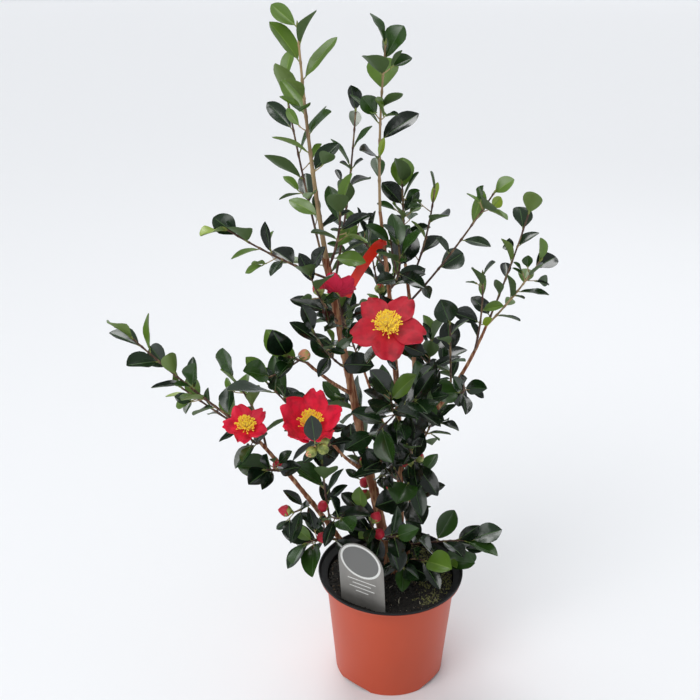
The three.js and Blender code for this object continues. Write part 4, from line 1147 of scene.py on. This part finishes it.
class CAMELLIA_OT_limbs(bpy.types.Operator):
    """Trunk, stems and boughs with the relief of their bark"""

    bl_idname = "camellia.limbs"
    bl_label = "Trunk and boughs"

    def execute(self, context):
        wood, builder = context.scene.camellia_wood, Builder()
        for number, limb in enumerate(plant().limbs.values()):
            start = 0 if limb.parent else -BARK["below_soil"] / limb.line.length
            places = np.linspace(start, 1, int(limb.line.length / BARK["step"]))
            relief = self.relief(limb, number, wood.relief / MM)
            builder.add(*tube(limb.line, limb.radius, BARK["sides"], places, relief), 0)
        bark = mottled("bark", wood.bark, wood.weathered, 260, stretch=(1, 1, 0.12),
                       roughness=0.8, bump=1.0, balance=(0.44, 0.66))
        settle(builder.piece("trunk_and_boughs", [bark]), LIMBS)
        return {"FINISHED"}

    def relief(self, limb, number, depth):
        """How far a limb's bark stands out, round it and along it, in millimetres."""
        long = limb.line.length
        scars = [0.08 + 0.9 * k / BARK["scars"] + 0.02 * math.sin(5 * k + number)
                 for k in range(BARK["scars"])]

        def stands_out(t, angle):
            along = t * long
            spot = Vector((1.3 * math.cos(angle) + 7 * number, 1.3 * math.sin(angle),
                           along * 0.035))
            furrow = noise.noise(spot) + 0.55 * noise.noise(spot * 2.7)
            flake = noise.noise(Vector((2 * math.cos(angle), 2 * math.sin(angle),
                                        along * 0.22 + 9 * number)))
            knot = sum(math.exp(-(((t - scar) * long / BARK["scar_length"]) ** 2))
                       * (0.6 + 0.5 * math.cos(angle - 2.4 * k)) for k, scar in enumerate(scars))
            rough = BARK["furrow"] * furrow + BARK["flake"] * flake + BARK["knot"] * knot
            collar = BARK["collar"] * math.exp(-along / BARK["collar_length"])
            return depth * (limb.radius(t) / 4) * rough + (collar if limb.parent else 0)

        return stands_out


class CAMELLIA_OT_twigs(bpy.types.Operator):
    """Leafy shoots' stems, their finer twigs, the leaves' stalks and the growing tips"""

    bl_idname = "camellia.twigs"
    bl_label = "Twigs"

    def execute(self, context):
        wood = context.scene.camellia_wood
        builder, petioles = Builder(), Builder()
        for shoot in plant().shoots:
            kind = 1 if shoot.name in TAN_STEMS else 0
            for line, radii in ((shoot.line, shoot.radii),
                                *((twig, TWIG["radii"]) for twig in shoot.twigs)):
                nodes = [t for _, on, t, _ in shoot.leaves if on is line]
                self.stem(builder, line, radii, nodes, kind)
            for twig in shoot.fine:
                radii = (FINE_TWIG["radius"], FINE_TWIG["radius"] * 0.8)
                self.stem(builder, twig, radii, [], 0 if shoot.flower else 1)
            for blade, *_ in shoot.leaves:
                end = blade.at(STALK["to"], 0, -STALK["below"])
                stalk = Line(blade.root, end, blade.facing * -STALK["bow"])
                petioles.add(*tube(stalk, lambda t: 0.85 - 0.3 * t, STALK["sides"],
                                   STALK["places"]), 0)
            for line in shoot.twigs if shoot.flower else [shoot.line, *shoot.twigs]:
                petioles.add(*spindle(line.point(1), line.heading(1), END_BUD["rings"],
                                      END_BUD["ends"], END_BUD["sides"]), 0)
        dark = mottled("stem_dark", wood.young_dark, wood.young_tan, 220, stretch=(1, 1, 0.2),
                       balance=(0.5, 0.8))
        tan = mottled("stem_tan", wood.young_tan, wood.young_dark, 200, stretch=(1, 1, 0.2),
                      balance=(0.45, 0.8))
        settle(builder.piece("twigs", [dark, tan]), SHOOT_NAMES)
        green = plain("petiole", wood.petiole, 0.5)
        settle(petioles.piece("leaf_stalks", [green]), SHOOT_NAMES)
        return {"FINISHED"}

    def stem(self, builder, line, radii, nodes, kind):
        """A stem that swells a little at each of its nodes, where the leaves stand."""
        steps = max(3, int(line.length / STEM["step"]))
        places = sorted({*np.linspace(0, 1, steps).round(4), *(round(t, 4) for t in nodes)})

        def radius_at(t):
            swell = max((math.exp(-(((t - node) * line.length / STEM["swell_length"]) ** 2))
                         for node in nodes), default=0)
            return mixed(radii, t) * STEM["slimmer"] + STEM["swell"] * swell

        builder.add(*tube(line, radius_at, STEM["sides"], places), kind)


class CAMELLIA_OT_leaves(bpy.types.Operator):
    """Every leaf, coloured by how young its shoot is"""

    bl_idname = "camellia.leaves"
    bl_label = "Leaves"

    def execute(self, context):
        looks = context.scene.camellia_leaves
        uppers = [roughened(plain(f"leaf_{name}", getattr(looks, name), looks.gloss + dull,
                                  Specular_IOR_Level=0.6), scale=60, depth=0.0005)
                  for name, dull in (("oldest", 0.0), ("old", 0.02), ("middle", 0.06),
                                     ("light", 0.12), ("young", 0.14))]
        youngest = len(uppers) - 1
        ribs = [plain("leaf_rib", looks.rib, 0.45), plain("leaf_fresh_rib", looks.fresh_rib, 0.5)]
        unders = [plain("leaf_under", looks.under, 0.6),
                  plain("leaf_fresh_under", looks.fresh_under, 0.6)]
        halves = (Builder(), Builder())
        for index, shoot in enumerate(plant().shoots):
            random = seeded(FINE_SEED + 1000 + index)
            fresh = FRESH.get(shoot.name, FRESH_ELSEWHERE)
            slender = SLENDER.get(shoot.name, SLENDER_ELSEWHERE)
            for order, (blade, _, _, near_tip) in enumerate(shoot.leaves):
                blunt = (shoot.name in ROUND_LEAVED and order % 4 and near_tip > ROUND["from"]
                         and blade.length > ROUND["longer_than"])
                wide = ROUND["width"] * blade.length / blade.width if blunt else slender
                points, faces, kinds = leaf_net(blade, random, looks.wave, wide, blunt)
                age = (fresh + AGE["along"] * (near_tip - 0.5)
                       + AGE["chance"] * (random() - 0.5))
                tint = min(youngest, max(0, int(5 * age)))
                if tint == youngest and (random() < AGE["older"]
                                         or blade.length > YOUNG_LENGTH):
                    tint -= 1
                rib = len(uppers) + (tint > 2)
                slots = [(tint, rib, rib + len(ribs))[kind] for kind in kinds]
                halves[index % 2].add(points, faces, slots)
        for number, builder in enumerate(halves):
            piece = builder.piece(f"leaves_{number + 1}", [*uppers, *ribs, *unders])
            settle(piece, SHOOT_NAMES[number::2])
        return {"FINISHED"}


class CAMELLIA_OT_flowers(bpy.types.Operator):
    """Petals and stamens of the open flowers"""

    bl_idname = "camellia.flowers"
    bl_label = "Flowers"

    def execute(self, context):
        looks = context.scene.camellia_flowers
        petals, sepals, filaments, anthers = (Builder() for _ in range(4))
        random = seeded(FINE_SEED + 2000)
        # The filaments and anthers emit a little light of their own colour: a painted glow.
        thread, tip = (
            plain(name, shade, dull, Emission_Strength=looks.painted_glow, Emission_Color=shade)
            for name, shade, dull in (
                ("filament", looks.filament, 0.5), ("anther", looks.anther, 0.6)))
        for shoot in plant().shoots:
            if not shoot.flower:
                continue
            cup, half_open = shoot.flower["cup"], HALF_OPEN.get(shoot.name)
            # the front of a cupped flower's petals takes the lighter red, a painted light
            inner = 2 if cup > FLAT_CUP else 0
            base = PETAL_NET["half_open_base" if half_open else "base"]
            for blade in shoot.petals:
                points, faces, sides = petal_net(blade, random, base, PETAL_BOWL * cup)
                petals.add(points, faces, [inner if side == 0 else 1 for side in sides])
            self.tuft(shoot.flower, half_open, looks, (filaments, thread), (anthers, tip))
            self.sepals(shoot, sepals, random)
        # the second petal material is the lighter red, painted light for the cupped flowers
        face, painted_lit_face = (
            mottled(name, shaded(shade, 0.66), shade, 110, bump=0.8, balance=(0.34, 0.56))
            for name, shade in (("petal", looks.petal), ("painted_lit_petal", looks.painted_lit_petal)))
        back = plain("petal_back", looks.petal_back, 0.7, Specular_IOR_Level=0.25)
        core, green = plain("tuft_core", looks.core, 0.6), plain("sepal", looks.bud, 0.6)
        for name, builder, materials in (
                ("petals", petals, [face, back, painted_lit_face]), ("filaments", filaments, [thread, core]),
                ("anthers", anthers, [tip]), ("sepals", sepals, [green, green])):
            settle(builder.piece(name, materials), FLOWER_SHOOTS)
        return {"FINISHED"}

    def tuft(self, flower, half_open, looks, filaments, anthers):
        """The stamens, stood on a low dome, each of them leaning out from the middle."""
        centre, facing, cup = flower["centre"], flower["facing"], flower["cup"]
        level, rising = frame_across(facing)
        scale = flower["size"] / TUFT["full_size"] * (TUFT["half_open"] if half_open else 1)
        density = looks.stamens / (math.pi * looks.tuft**2)
        wall = TUFT["wall"] * cup  # how steeply the bowl of petals starts
        radius = looks.tuft * (TUFT["least"] + TUFT["more"] * scale) * (half_open or 1)
        ground = self.dome(radius, min(TUFT["dome"], 0.5 * math.tan(TUFT["steepest"] - wall)))
        root = radius / MM
        rise = root * math.tan(wall)
        base = centre + facing * rise
        rings = [(0.4, root), (2 * scale, 0.84 * root), (4.5 * scale, 0.5 * root)]
        filaments[0].add(*spindle(base, facing, rings, (-0.6 - rise, 6 * scale), 12), 1)
        for (builder, material), part in (
                (filaments, self.filament(scale)), (anthers, self.anther(scale))):
            points, faces = scattered(ground, part, density, TUFT["sizes"], TUFT["tilt"],
                                      TUFT["seed"], material)
            builder.add(base + points / MM @ np.array([level, rising, facing]), faces, 0)

    def sepals(self, shoot, builder, random):
        """The small green leaves behind a flower's petals."""
        centre, facing, size = (shoot.flower[key] for key in ("centre", "facing", "size"))
        for order in range(SEPAL["count"]):
            out = outward_from(facing, order * TAU / SEPAL["count"] + SEPAL["turn"])
            sepal = Blade(centre - facing * SEPAL["behind"], unit(out - facing * SEPAL["back"]),
                          facing, size / SEPAL["length"], size / SEPAL["width"], SEPAL["arch"],
                          SEPAL["fold"], petal_half_width, shoot.name)
            builder.add(*petal_net(sepal, random))

    def dome(self, radius, rise):
        """A low cap of rings; its normals lean out towards the rim. In metres."""
        points, rings, sides = [(0.0, 0.0, radius * rise)], 3, 12
        for ring in range(1, rings + 1):
            reach = ring / rings
            points += circle(radius * reach, sides, radius * rise * (1 - reach**2))
        return np.array(points), disc_faces(rings, sides)

    def filament(self, scale):
        """One stamen's stalk, in metres."""
        tip = (TUFT["lean"] * scale, 0, TUFT["height"] * scale)
        line = Line((0, 0, -1), tip, (0.8 * scale, 0, 0))
        points, faces = tube(line, lambda t: 0.42 - 0.1 * t, 3, (0, 0.35, 0.7, 1))
        return points * MM, faces

    def anther(self, scale):
        """One stamen's head, where its stalk ends, in metres."""
        tip = vec((TUFT["lean"] * scale, 0, TUFT["height"] * scale))
        rings = [(0.5, 0.75), (1.5, 0.8), (2.2, 0.5)]
        points, faces = spindle(tip, vec((0.25, 0, 0.97)), rings, (-0.3, 2.8), 5)
        return np.array(points) * MM, faces


class CAMELLIA_OT_buds(bpy.types.Operator):
    """Flower buds with overlapping scales and a red tip"""

    bl_idname = "camellia.buds"
    bl_label = "Buds"

    def execute(self, context):
        looks = context.scene.camellia_flowers
        builder, random = Builder(), seeded(FINE_SEED + 3000)
        for shoot in plant().shoots:
            sprayed, peach = shoot.name == SPRAY["shoot"], shoot.name in PEACH_BUDS
            for order, (root, along) in enumerate(shoot.buds):
                least, more = BUD_NET["length"]
                long = BUD["length"] * (least + more * random())
                wide = BUD["radius"] * BUD_NET["width"]
                tip_kind = 2 if peach else 1
                if sprayed:
                    tip_kind, wide = 0 if order % 2 else 2, BUD_NET["spray_width"] * wide
                stage = ("opening" if shoot.name in OPENING_BUDS
                         else "closed" if sprayed or not peach else "peach")
                builder.add(*self.bud(root, along, long, wide, tip_kind, RED_FROM[stage]))
        materials = [
            mottled("bud_scale", looks.bud_shade, looks.bud, 190, roughness=0.5, bump=0.4),
            plain("bud_petal", looks.bud_tip, 0.5),
            mottled("bud_peach", looks.peach, looks.bud, 150, roughness=0.5,
                    balance=(0.5, 0.66))]
        settle(builder.piece("flower_buds", materials), BUD_SHOOTS)
        return {"FINISHED"}

    def bud(self, root, along, long, wide, tip_kind, red_from):
        """A bud's points, faces and slots: scales below, and its petals from `red_from` on."""
        sides, rows, scales = BUD_NET["sides"], BUD_NET["rows"], BUD_NET["scales"]
        points = [root.copy()]
        for row in range(1, rows):
            h = row / rows
            body = math.sin(math.pi * h**0.85) ** 0.75 * wide
            for side in range(sides):
                angle = side * TAU / sides + 0.26 * row
                scale = abs(math.sin(1.5 * angle + math.floor(h * scales) * 1.1))
                step = (h * scales + 0.35 * scale) % 1
                radius = max(0.5, body * (1 + BUD_NET["scale_lift"] * (1 - step)))
                points.append(root + along * (BUD["stalk"] + long * h)
                              + outward_from(along, angle) * radius)
        points.append(root + along * (BUD["stalk"] + long))
        faces = [(0, 1 + (side + 1) % sides, 1 + side) for side in range(sides)]
        net = band_faces(rows - 1, sides)
        faces += [tuple(corner + 1 for corner in face) for face in net]
        top, tip = 1 + (rows - 2) * sides, len(points) - 1
        faces += [(tip, top + side, top + (side + 1) % sides) for side in range(sides)]
        edge = [red_from * rows + 1.5 * math.sin(3.4 * side) for side in range(sides)]
        slots = [tip_kind if k // sides > edge[k % sides] else 0 for k in range(len(net))]
        return points, faces, [0] * sides + slots + [tip_kind] * sides


class CAMELLIA_OT_pot(bpy.types.Operator):
    """Nursery pot: black rim and inside, terracotta outside, arches in its foot"""

    bl_idname = "camellia.pot"
    bl_label = "Pot"

    def profile(self):
        """The pot's section, as (radius, height) and which of its two plastics comes next."""
        height, lip, wall = POT["height"], POT["lip_radius"], POT["wall"]
        ledge = height - POT["lip_height"]
        base, top = POT["base_radius"], POT["wall_top_radius"]
        floor = POT["arch_height"] + 1.0
        outside = [(base - 0.8, 0.0), (base, 0.8)]
        outside += [(mixed((base, top), k / 12), mixed((3, ledge - 2), k / 12))
                    for k in range(1, 13)]
        outside += [(top + 1.4, ledge - 0.8), (lip - 2.2, ledge - 0.2), (lip - 1.4, ledge + 0.3),
                    (lip - 1.0, ledge + 2.2), (lip - 1.5, ledge + 2.8)]
        rim = [(lip - 0.4, ledge + 3.6), (lip, height - 1.2), (lip - 0.3, height - 0.3),
               (lip - 1.1, height), (lip - 1.9, height - 0.3),
               (lip - POT["lip_thickness"], height - 1.2),
               (lip - 3.7, ledge + 1.8), (top - wall, ledge - 2),
               (top - wall - 1.2, SOIL_TOP - 6), (base - wall + 2, floor + wall),
               (0.0, floor + wall)]
        under = [(0.0, floor), (base - 12, floor), (base - ARCH_DEPTH, floor - 0.6),
                 (base - 10.4, 0.8), (base - 9.6, 0.0)]
        kinds = [0] * (len(outside) - 1) + [1] * (len(rim) + 1) + [0] * len(under)
        return [*outside, *rim, *under], kinds

    def lift(self, turn, radius, z):
        """How high one of the arches in the pot's foot lifts a point of the section."""
        if z >= POT["arch_height"] or radius <= POT["base_radius"] - ARCH_DEPTH:
            return 0.0
        step = TAU / POT["arch_count"]
        middle = math.pi / 2 + POT["arch_turn"] * step
        off = (turn - middle + step / 2) % step - step / 2
        x = abs(POT["base_radius"] * math.sin(off)) / (POT["arch_width"] / 2)
        return POT["arch_height"] * math.sqrt(max(0.0, 1 - x * x))

    def execute(self, context):
        looks = context.scene.camellia_pot
        profile, kinds = self.profile()
        points, ring_of = [], []
        for radius, z in profile:
            if radius == 0:
                ring_of.append([len(points)] * POT_SIDES)
                points.append((0, 0, z))
                continue
            ring_of.append(list(range(len(points), len(points) + POT_SIDES)))
            for side in range(POT_SIDES):
                turn = side * TAU / POT_SIDES
                points.append((radius * math.cos(turn), radius * math.sin(turn),
                               max(z, self.lift(turn, radius, z))))
        faces, slots = [], []
        for here, there, kind in zip(ring_of, ring_of[1:] + ring_of[:1], kinds):
            for side in range(POT_SIDES):
                beside = (side + 1) % POT_SIDES
                face = [here[side], here[beside], there[beside], there[side]]
                face = [corner for k, corner in enumerate(face) if corner not in face[:k]]
                if len(face) > 2:
                    faces.append(tuple(face))
                    slots.append(kind)
        outer = mottled("pot_outside", looks.outside, shaded(looks.outside, 0.82), 9,
                        stretch=(1, 1, 0.5), roughness=0.42, balance=(0.3, 0.8))
        inner = plain("pot_inside", looks.inside, 0.5, Specular_IOR_Level=0.3)
        pot = piece_of("nursery_pot", np.array(points, float) * MM, faces, slots, [outer, inner],
                       CRISP)
        settle(pot, ["pot"])
        return {"FINISHED"}


class CAMELLIA_OT_soil(bpy.types.Operator):
    """Potting mix with its crumbs and tufts of moss"""

    bl_idname = "camellia.soil"
    bl_label = "Soil"

    def execute(self, context):
        looks = context.scene.camellia_pot
        ground, faces, top_faces = self.ground()
        earth = mottled("potting_mix", looks.soil, shaded(looks.soil, 1.9), 420, roughness=0.95,
                        bump=0.8)
        settle(piece_of("potting_mix", ground * MM, faces, 0, [earth], math.radians(60)),
               ["soil"])
        crumb, bark_bit = plain("crumb", looks.soil, 0.95), plain("bark_bit", looks.crumb, 0.9)
        moss, pale = plain("moss", looks.moss, 0.9), plain("fibre", looks.fibre, 0.9)
        surface = (ground * MM, faces[:top_faces])
        mossy = (ground * MM, [face for face in surface[1] if self.mossy(ground[face[0]])])
        for name, where, part, density, sizes, seed, material, tilt in (
                ("soil_crumbs", surface, self.grain(0.75), 95000, (0.7, 2.2), 11, crumb, 3.1),
                ("soil_bark_bits", surface, self.grain(0.4), 5500, (1.2, 3.4), 12, bark_bit, 3.1),
                ("moss", mossy, self.frond(), 480000, (0.35, 1.1), 13, moss, 1.2),
                ("soil_fibres", surface, self.fibre(), 3000, (0.3, 1.5), 14, pale, 3.1),
                ("soil_specks", surface, self.grain(0.6), 12000, (0.3, 0.9), 15, pale, 3.1)):
            strewn = scattered(where, part, density, sizes, tilt, seed, material)
            settle(piece_of(name, *strewn, 0, [material]), ["soil"])
        points, faces = tube(Line(*STRAW), lambda t: 0.9 - 0.3 * t, 6, (0, 0.25, 0.5, 0.75, 1))
        settle(piece_of("soil_straw", points * MM, faces, 0, [pale]), ["soil"])
        return {"FINISHED"}

    def ground(self):
        """The mix's points and faces, and how many of these are its uneven top."""
        rings, sides, bottom = SOIL_NET["rings"], SOIL_NET["sides"], SOIL_TOP - SOIL_NET["depth"]
        edge = mixed((POT["base_radius"], POT["wall_top_radius"]), SOIL_TOP / POT["height"])
        edge -= SOIL_NET["from_wall"]
        top = [(0, 0), *((x, y) for ring in range(1, rings + 1)
                         for x, y, _ in circle(edge * ring / rings, sides))]
        points = [(x, y, self.height_at(x, y)) for x, y in top]
        points += [*circle(edge, sides, bottom), (0, 0, bottom)]
        faces = disc_faces(rings + 1, sides)
        top_faces, last, middle = len(faces) - sides, 1 + rings * sides, len(points) - 1
        faces += [(last + (side + 1) % sides, last + side, middle) for side in range(sides)]
        return np.array(points, float), faces, top_faces

    def mossy(self, point):
        """Whether moss grows at this point: patches with ragged edges."""
        ragged = 0.5 + 1.5 * noise.noise(Vector(point) * 0.21)
        return any(math.hypot(point[0] - x, point[1] - y) < size * ragged
                   for x, y, size in MOSS_PATCHES)

    def height_at(self, x, y):
        """The height of the mix's uneven top."""
        spot = Vector((x * 0.06, y * 0.06, 0.3))
        rough = (1.6 * noise.noise(spot) + 0.9 * noise.noise(spot * 3.1)
                 + 0.5 * noise.noise(spot * 9))
        return SOIL_TOP - 0.4 + rough

    def grain(self, flat):
        """One lump of about a millimetre, in metres."""
        points, faces = spindle(vec((0, 0, 0)), vec((0, 0, 1)),
                                [(-0.35, 0.9), (0.25, 0.8)], (-0.6, 0.6), 5)
        lump = np.array(points) * (1, 0.8, flat)
        return lump * MM, faces

    def frond(self):
        """One upright sprig of moss, in metres."""
        rings = [(0.6, 0.42), (1.8, 0.34)]
        points, faces = spindle(vec((0, 0, 0)), vec((0.25, 0, 0.97)), rings, (-0.4, 2.8), 4)
        return np.array(points) * MM, faces

    def fibre(self):
        """One dry shred lying level, in metres."""
        line = Line((-4, 0, 0.6), (4, 0.6, 0.8), (0, 0.8, 0.3))
        points, faces = tube(line, lambda t: 0.42 - 0.14 * t, 4, (0, 0.3, 0.7, 1))
        return points * MM, faces


class CAMELLIA_OT_label(bpy.types.Operator):
    """Grey plastic label, bare but for a plain border line and rules"""

    bl_idname = "camellia.label"
    bl_label = "Label"

    def outline(self, inset):
        """The label's outline, `inset` in from its edge, as points on its own plane."""
        width, tall = LABEL["width"], LABEL["height"]
        stake, depth = LABEL["stake_width"] / 2 - inset, LABEL["stake_length"]
        half = width / 2 - inset
        points = [(-stake, -depth + inset), (stake, -depth + inset), (half - 0.6 * inset, inset)]
        points += [(half * math.cos(k * math.pi / 28), tall - width / 2
                    + half * math.sin(k * math.pi / 28)) for k in range(29)]
        return [*points, (-half + 0.6 * inset, inset)]

    def ring(self, inset):
        """An oval in the label's round top, `inset` in from the largest that fits there."""
        across, up = LABEL_RING["radii"]
        middle = LABEL["height"] - LABEL_RING["above"] - up
        angles = [k * math.pi / 24 for k in range(48)]
        return [((across - inset) * math.cos(a), middle + (up - inset) * math.sin(a))
                for a in angles]

    def placed(self, rows):
        """Points in millimetres for rows of (height over the label's plane, outline on it)."""
        turned, foot = label_matrix()
        return np.array([turned @ vec((x, y, z)) + foot for z, outline in rows
                         for x, y in outline])

    def execute(self, context):
        looks = context.scene.camellia_pot
        front = LABEL["thickness"] / 2
        side = front - LABEL_EDGE
        face, full = self.outline(LABEL_EDGE), self.outline(0)
        points = self.placed([(front, face), (side, full), (-side, full), (-front, face)])
        grey = mottled("label_plastic", looks.label, shaded(looks.label, 0.88), 40,
                       roughness=0.45)
        piece = piece_of("label_plate", points * MM, slab_faces(4, len(face)), 0, [grey], CRISP)
        settle(piece, ["label"])
        builder = Builder()
        outer, inner = self.ring(0), self.ring(LABEL_RING["width"])
        self.rule(builder, outer, inner)
        disc = self.placed([(front + 0.06, inner), (front - 0.1, inner)])
        builder.add(disc, slab_faces(2, len(inner)), 1)
        for y, reach in LABEL_RULES:
            below, above = ([(x, height) for x in (-reach, reach)]
                            for height in (y, y + RULE_HEIGHT))
            self.rule(builder, below, above, closed=False)
        pale, dark = plain("label_rules", looks.print, 0.5), plain("label_disc", looks.disc, 0.45)
        settle(builder.piece("label_rules", [pale, dark]), ["label"])
        return {"FINISHED"}

    def rule(self, builder, first, second, closed=True):
        """A thin raised line between two rows of points, on the label's front."""
        front = LABEL["thickness"] / 2
        low, high = front - 0.1, front + 0.12
        rows = [(low, first), (high, first), (high, second), (low, second), (low, first)]
        faces = [tuple(reversed(face)) for face in band_faces(len(rows), len(first), closed)]
        builder.add(self.placed(rows), faces, 0)


class CAMELLIA_OT_ribbon(bpy.types.Operator):
    """Red plastic ribbon knotted round the centre stem"""

    bl_idname = "camellia.ribbon"
    bl_label = "Ribbon"

    def execute(self, context):
        looks = context.scene.camellia_pot
        limb, line = plant().limbs["centre_stem"], plant().ribbon_line()
        builder = Builder()
        at, wide = RIBBON["at"], RIBBON["width"]
        knot, heading = limb.line.point(at), limb.line.heading(at)
        hold = Line(knot - heading * wide / 2, knot + heading * wide / 2, (0, 0, 0))
        around = limb.radius(at) + GAP + RIBBON_LOOK["knot"]

        def folds(t, angle):
            return 0.35 * math.sin(3 * angle + 9 * t) + 0.3 * math.sin(11 * t)

        builder.add(*tube(hold, lambda t: around, 24, np.linspace(0, 1, 9), folds), 0)
        out = unit(line.tip - line.start)
        across = unit(np.cross(out, vec((0, -1, 0.3))))
        through = unit(np.cross(across, out))
        points, steps = [], RIBBON_LOOK["steps"]
        for step in range(steps + 1):
            t = step / steps
            lean = 0.5 * math.sin(2.6 * t) * t
            side = across * math.cos(lean) + through * math.sin(lean)
            square = unit(np.cross(side, out))
            centre = line.point(t) - out * 2 * (1 - t) + square * 1.6 * math.sin(6 * t) * t
            narrow = 0.55 + 0.45 * min(1, 7 * t)
            cut = out * (RIBBON_LOOK["cut"] if step == steps else 0)
            for s, z in ((-1, -1), (0, -1), (1, -1), (1, 1), (0, 1), (-1, 1)):
                crease = RIBBON_LOOK["crease"] * (1 - abs(s)) * narrow
                points.append(centre + side * s * wide / 2 * narrow + cut * s
                              + square * (RIBBON_LOOK["half_thick"] * z + crease))
        ends = [tuple(reversed(range(6))), tuple(range(6 * steps, 6 * steps + 6))]
        builder.add(points, [*band_faces(steps + 1, 6), *ends], 0)
        red = plain("ribbon_red", looks.ribbon, 0.32, Coat_Weight=0.3)
        settle(builder.piece("ribbon", [red], CRISP), ["red_ribbon"])
        return {"FINISHED"}


class CAMELLIA_OT_stage(bpy.types.Operator):
    """Pale floor, soft lights, and the camera"""

    bl_idname = "camellia.stage"
    bl_label = "Floor, lights and camera"

    def execute(self, context):
        looks, scene = context.scene.camellia_stage, context.scene
        points = [(0.0, 0.0, 0.0)]
        for radius, height in FLOOR_CURVE:
            points += circle(radius, FLOOR_SIDES, height)
        sheet = plain("floor", looks.floor, 0.9, Specular_IOR_Level=0.1)
        piece_of("floor", np.array(points), disc_faces(len(FLOOR_CURVE), FLOOR_SIDES),
                          0, [sheet])
        world = scene.world or bpy.data.worlds.new("studio")
        scene.world = world
        world.use_nodes = True
        sky = world.node_tree.nodes["Background"]
        sky.inputs["Color"].default_value = SKY_TINT
        sky.inputs["Strength"].default_value = looks.sky
        for name, place, size, power in (
                ("key", (-1.3, -1.3, 2.2), 1.0, looks.key),
                ("back", (1.0, 1.6, 2.2), 1.2, 0.6 * looks.key)):
            lamp = self.lamp(name, "AREA", power, size=size)
            lamp.location = place
            aimed = Vector(AIM) - Vector(place)
            lamp.rotation_euler = aimed.to_track_quat("-Z", "Y").to_euler()
        for name, strength, breadth, (tilt, lean) in (
                ("left", looks.left, 42, (32, -24)), ("behind", looks.behind, 30, (-27, -8))):
            lamp = self.lamp(name, "SUN", strength, angle=math.radians(breadth))
            lamp.rotation_euler = (math.radians(tilt), math.radians(lean), 0)
        camera = bpy.data.cameras.new("camera")
        camera.lens, camera.sensor_width, camera.sensor_fit = looks.lens, 36, "HORIZONTAL"
        eye = bpy.data.objects.new("camera", camera)
        eye.location = looks.eye
        eye.rotation_euler = (looks.tilt, 0, looks.turn)
        scene.collection.objects.link(eye)
        scene.camera = eye
        scene.view_settings.view_transform = "Standard"
        return {"FINISHED"}

    def lamp(self, name, kind, energy, **values):
        """A light in the scene. `values` are further properties of its data."""
        light = bpy.data.lights.new(name, kind)
        light.energy = energy
        for key, value in values.items():
            setattr(light, key, value)
        holder = bpy.data.objects.new(name, light)
        bpy.context.scene.collection.objects.link(holder)
        return holder


OPERATORS = (
    CAMELLIA_OT_limbs, CAMELLIA_OT_twigs, CAMELLIA_OT_leaves, CAMELLIA_OT_flowers,
    CAMELLIA_OT_buds, CAMELLIA_OT_pot, CAMELLIA_OT_soil, CAMELLIA_OT_label,
    CAMELLIA_OT_ribbon, CAMELLIA_OT_stage,
)


class CAMELLIA_PT_panel(bpy.types.Panel):
    """All the pieces and their settings"""

    bl_idname = "CAMELLIA_PT_panel"
    bl_label = "Camellia"
    bl_space_type = "VIEW_3D"
    bl_region_type = "UI"
    bl_category = "Camellia"

    def draw(self, context):
        for name, group in SETTINGS.items():
            box = self.layout.box()
            box.label(text=group.__doc__)
            for key in group.__annotations__:
                box.prop(getattr(context.scene, name), key)
        for operator in OPERATORS:
            self.layout.operator(operator.bl_idname)


CLASSES = (*SETTINGS.values(), *OPERATORS, CAMELLIA_PT_panel)


def register():
    for cls in CLASSES:
        bpy.utils.register_class(cls)
    for name, group in SETTINGS.items():
        setattr(bpy.types.Scene, name, bpy.props.PointerProperty(type=group))


def unregister():
    for name in SETTINGS:
        delattr(bpy.types.Scene, name)
    for cls in reversed(CLASSES):
        bpy.utils.unregister_class(cls)


def main():
    register()
    bpy.ops.camellia.limbs()
    bpy.ops.camellia.twigs()
    bpy.ops.camellia.leaves()
    bpy.ops.camellia.flowers()
    bpy.ops.camellia.buds()
    bpy.ops.camellia.pot()
    bpy.ops.camellia.soil()
    bpy.ops.camellia.label()
    bpy.ops.camellia.ribbon()
    bpy.ops.camellia.stage()


if __name__ == "__main__":
    main()
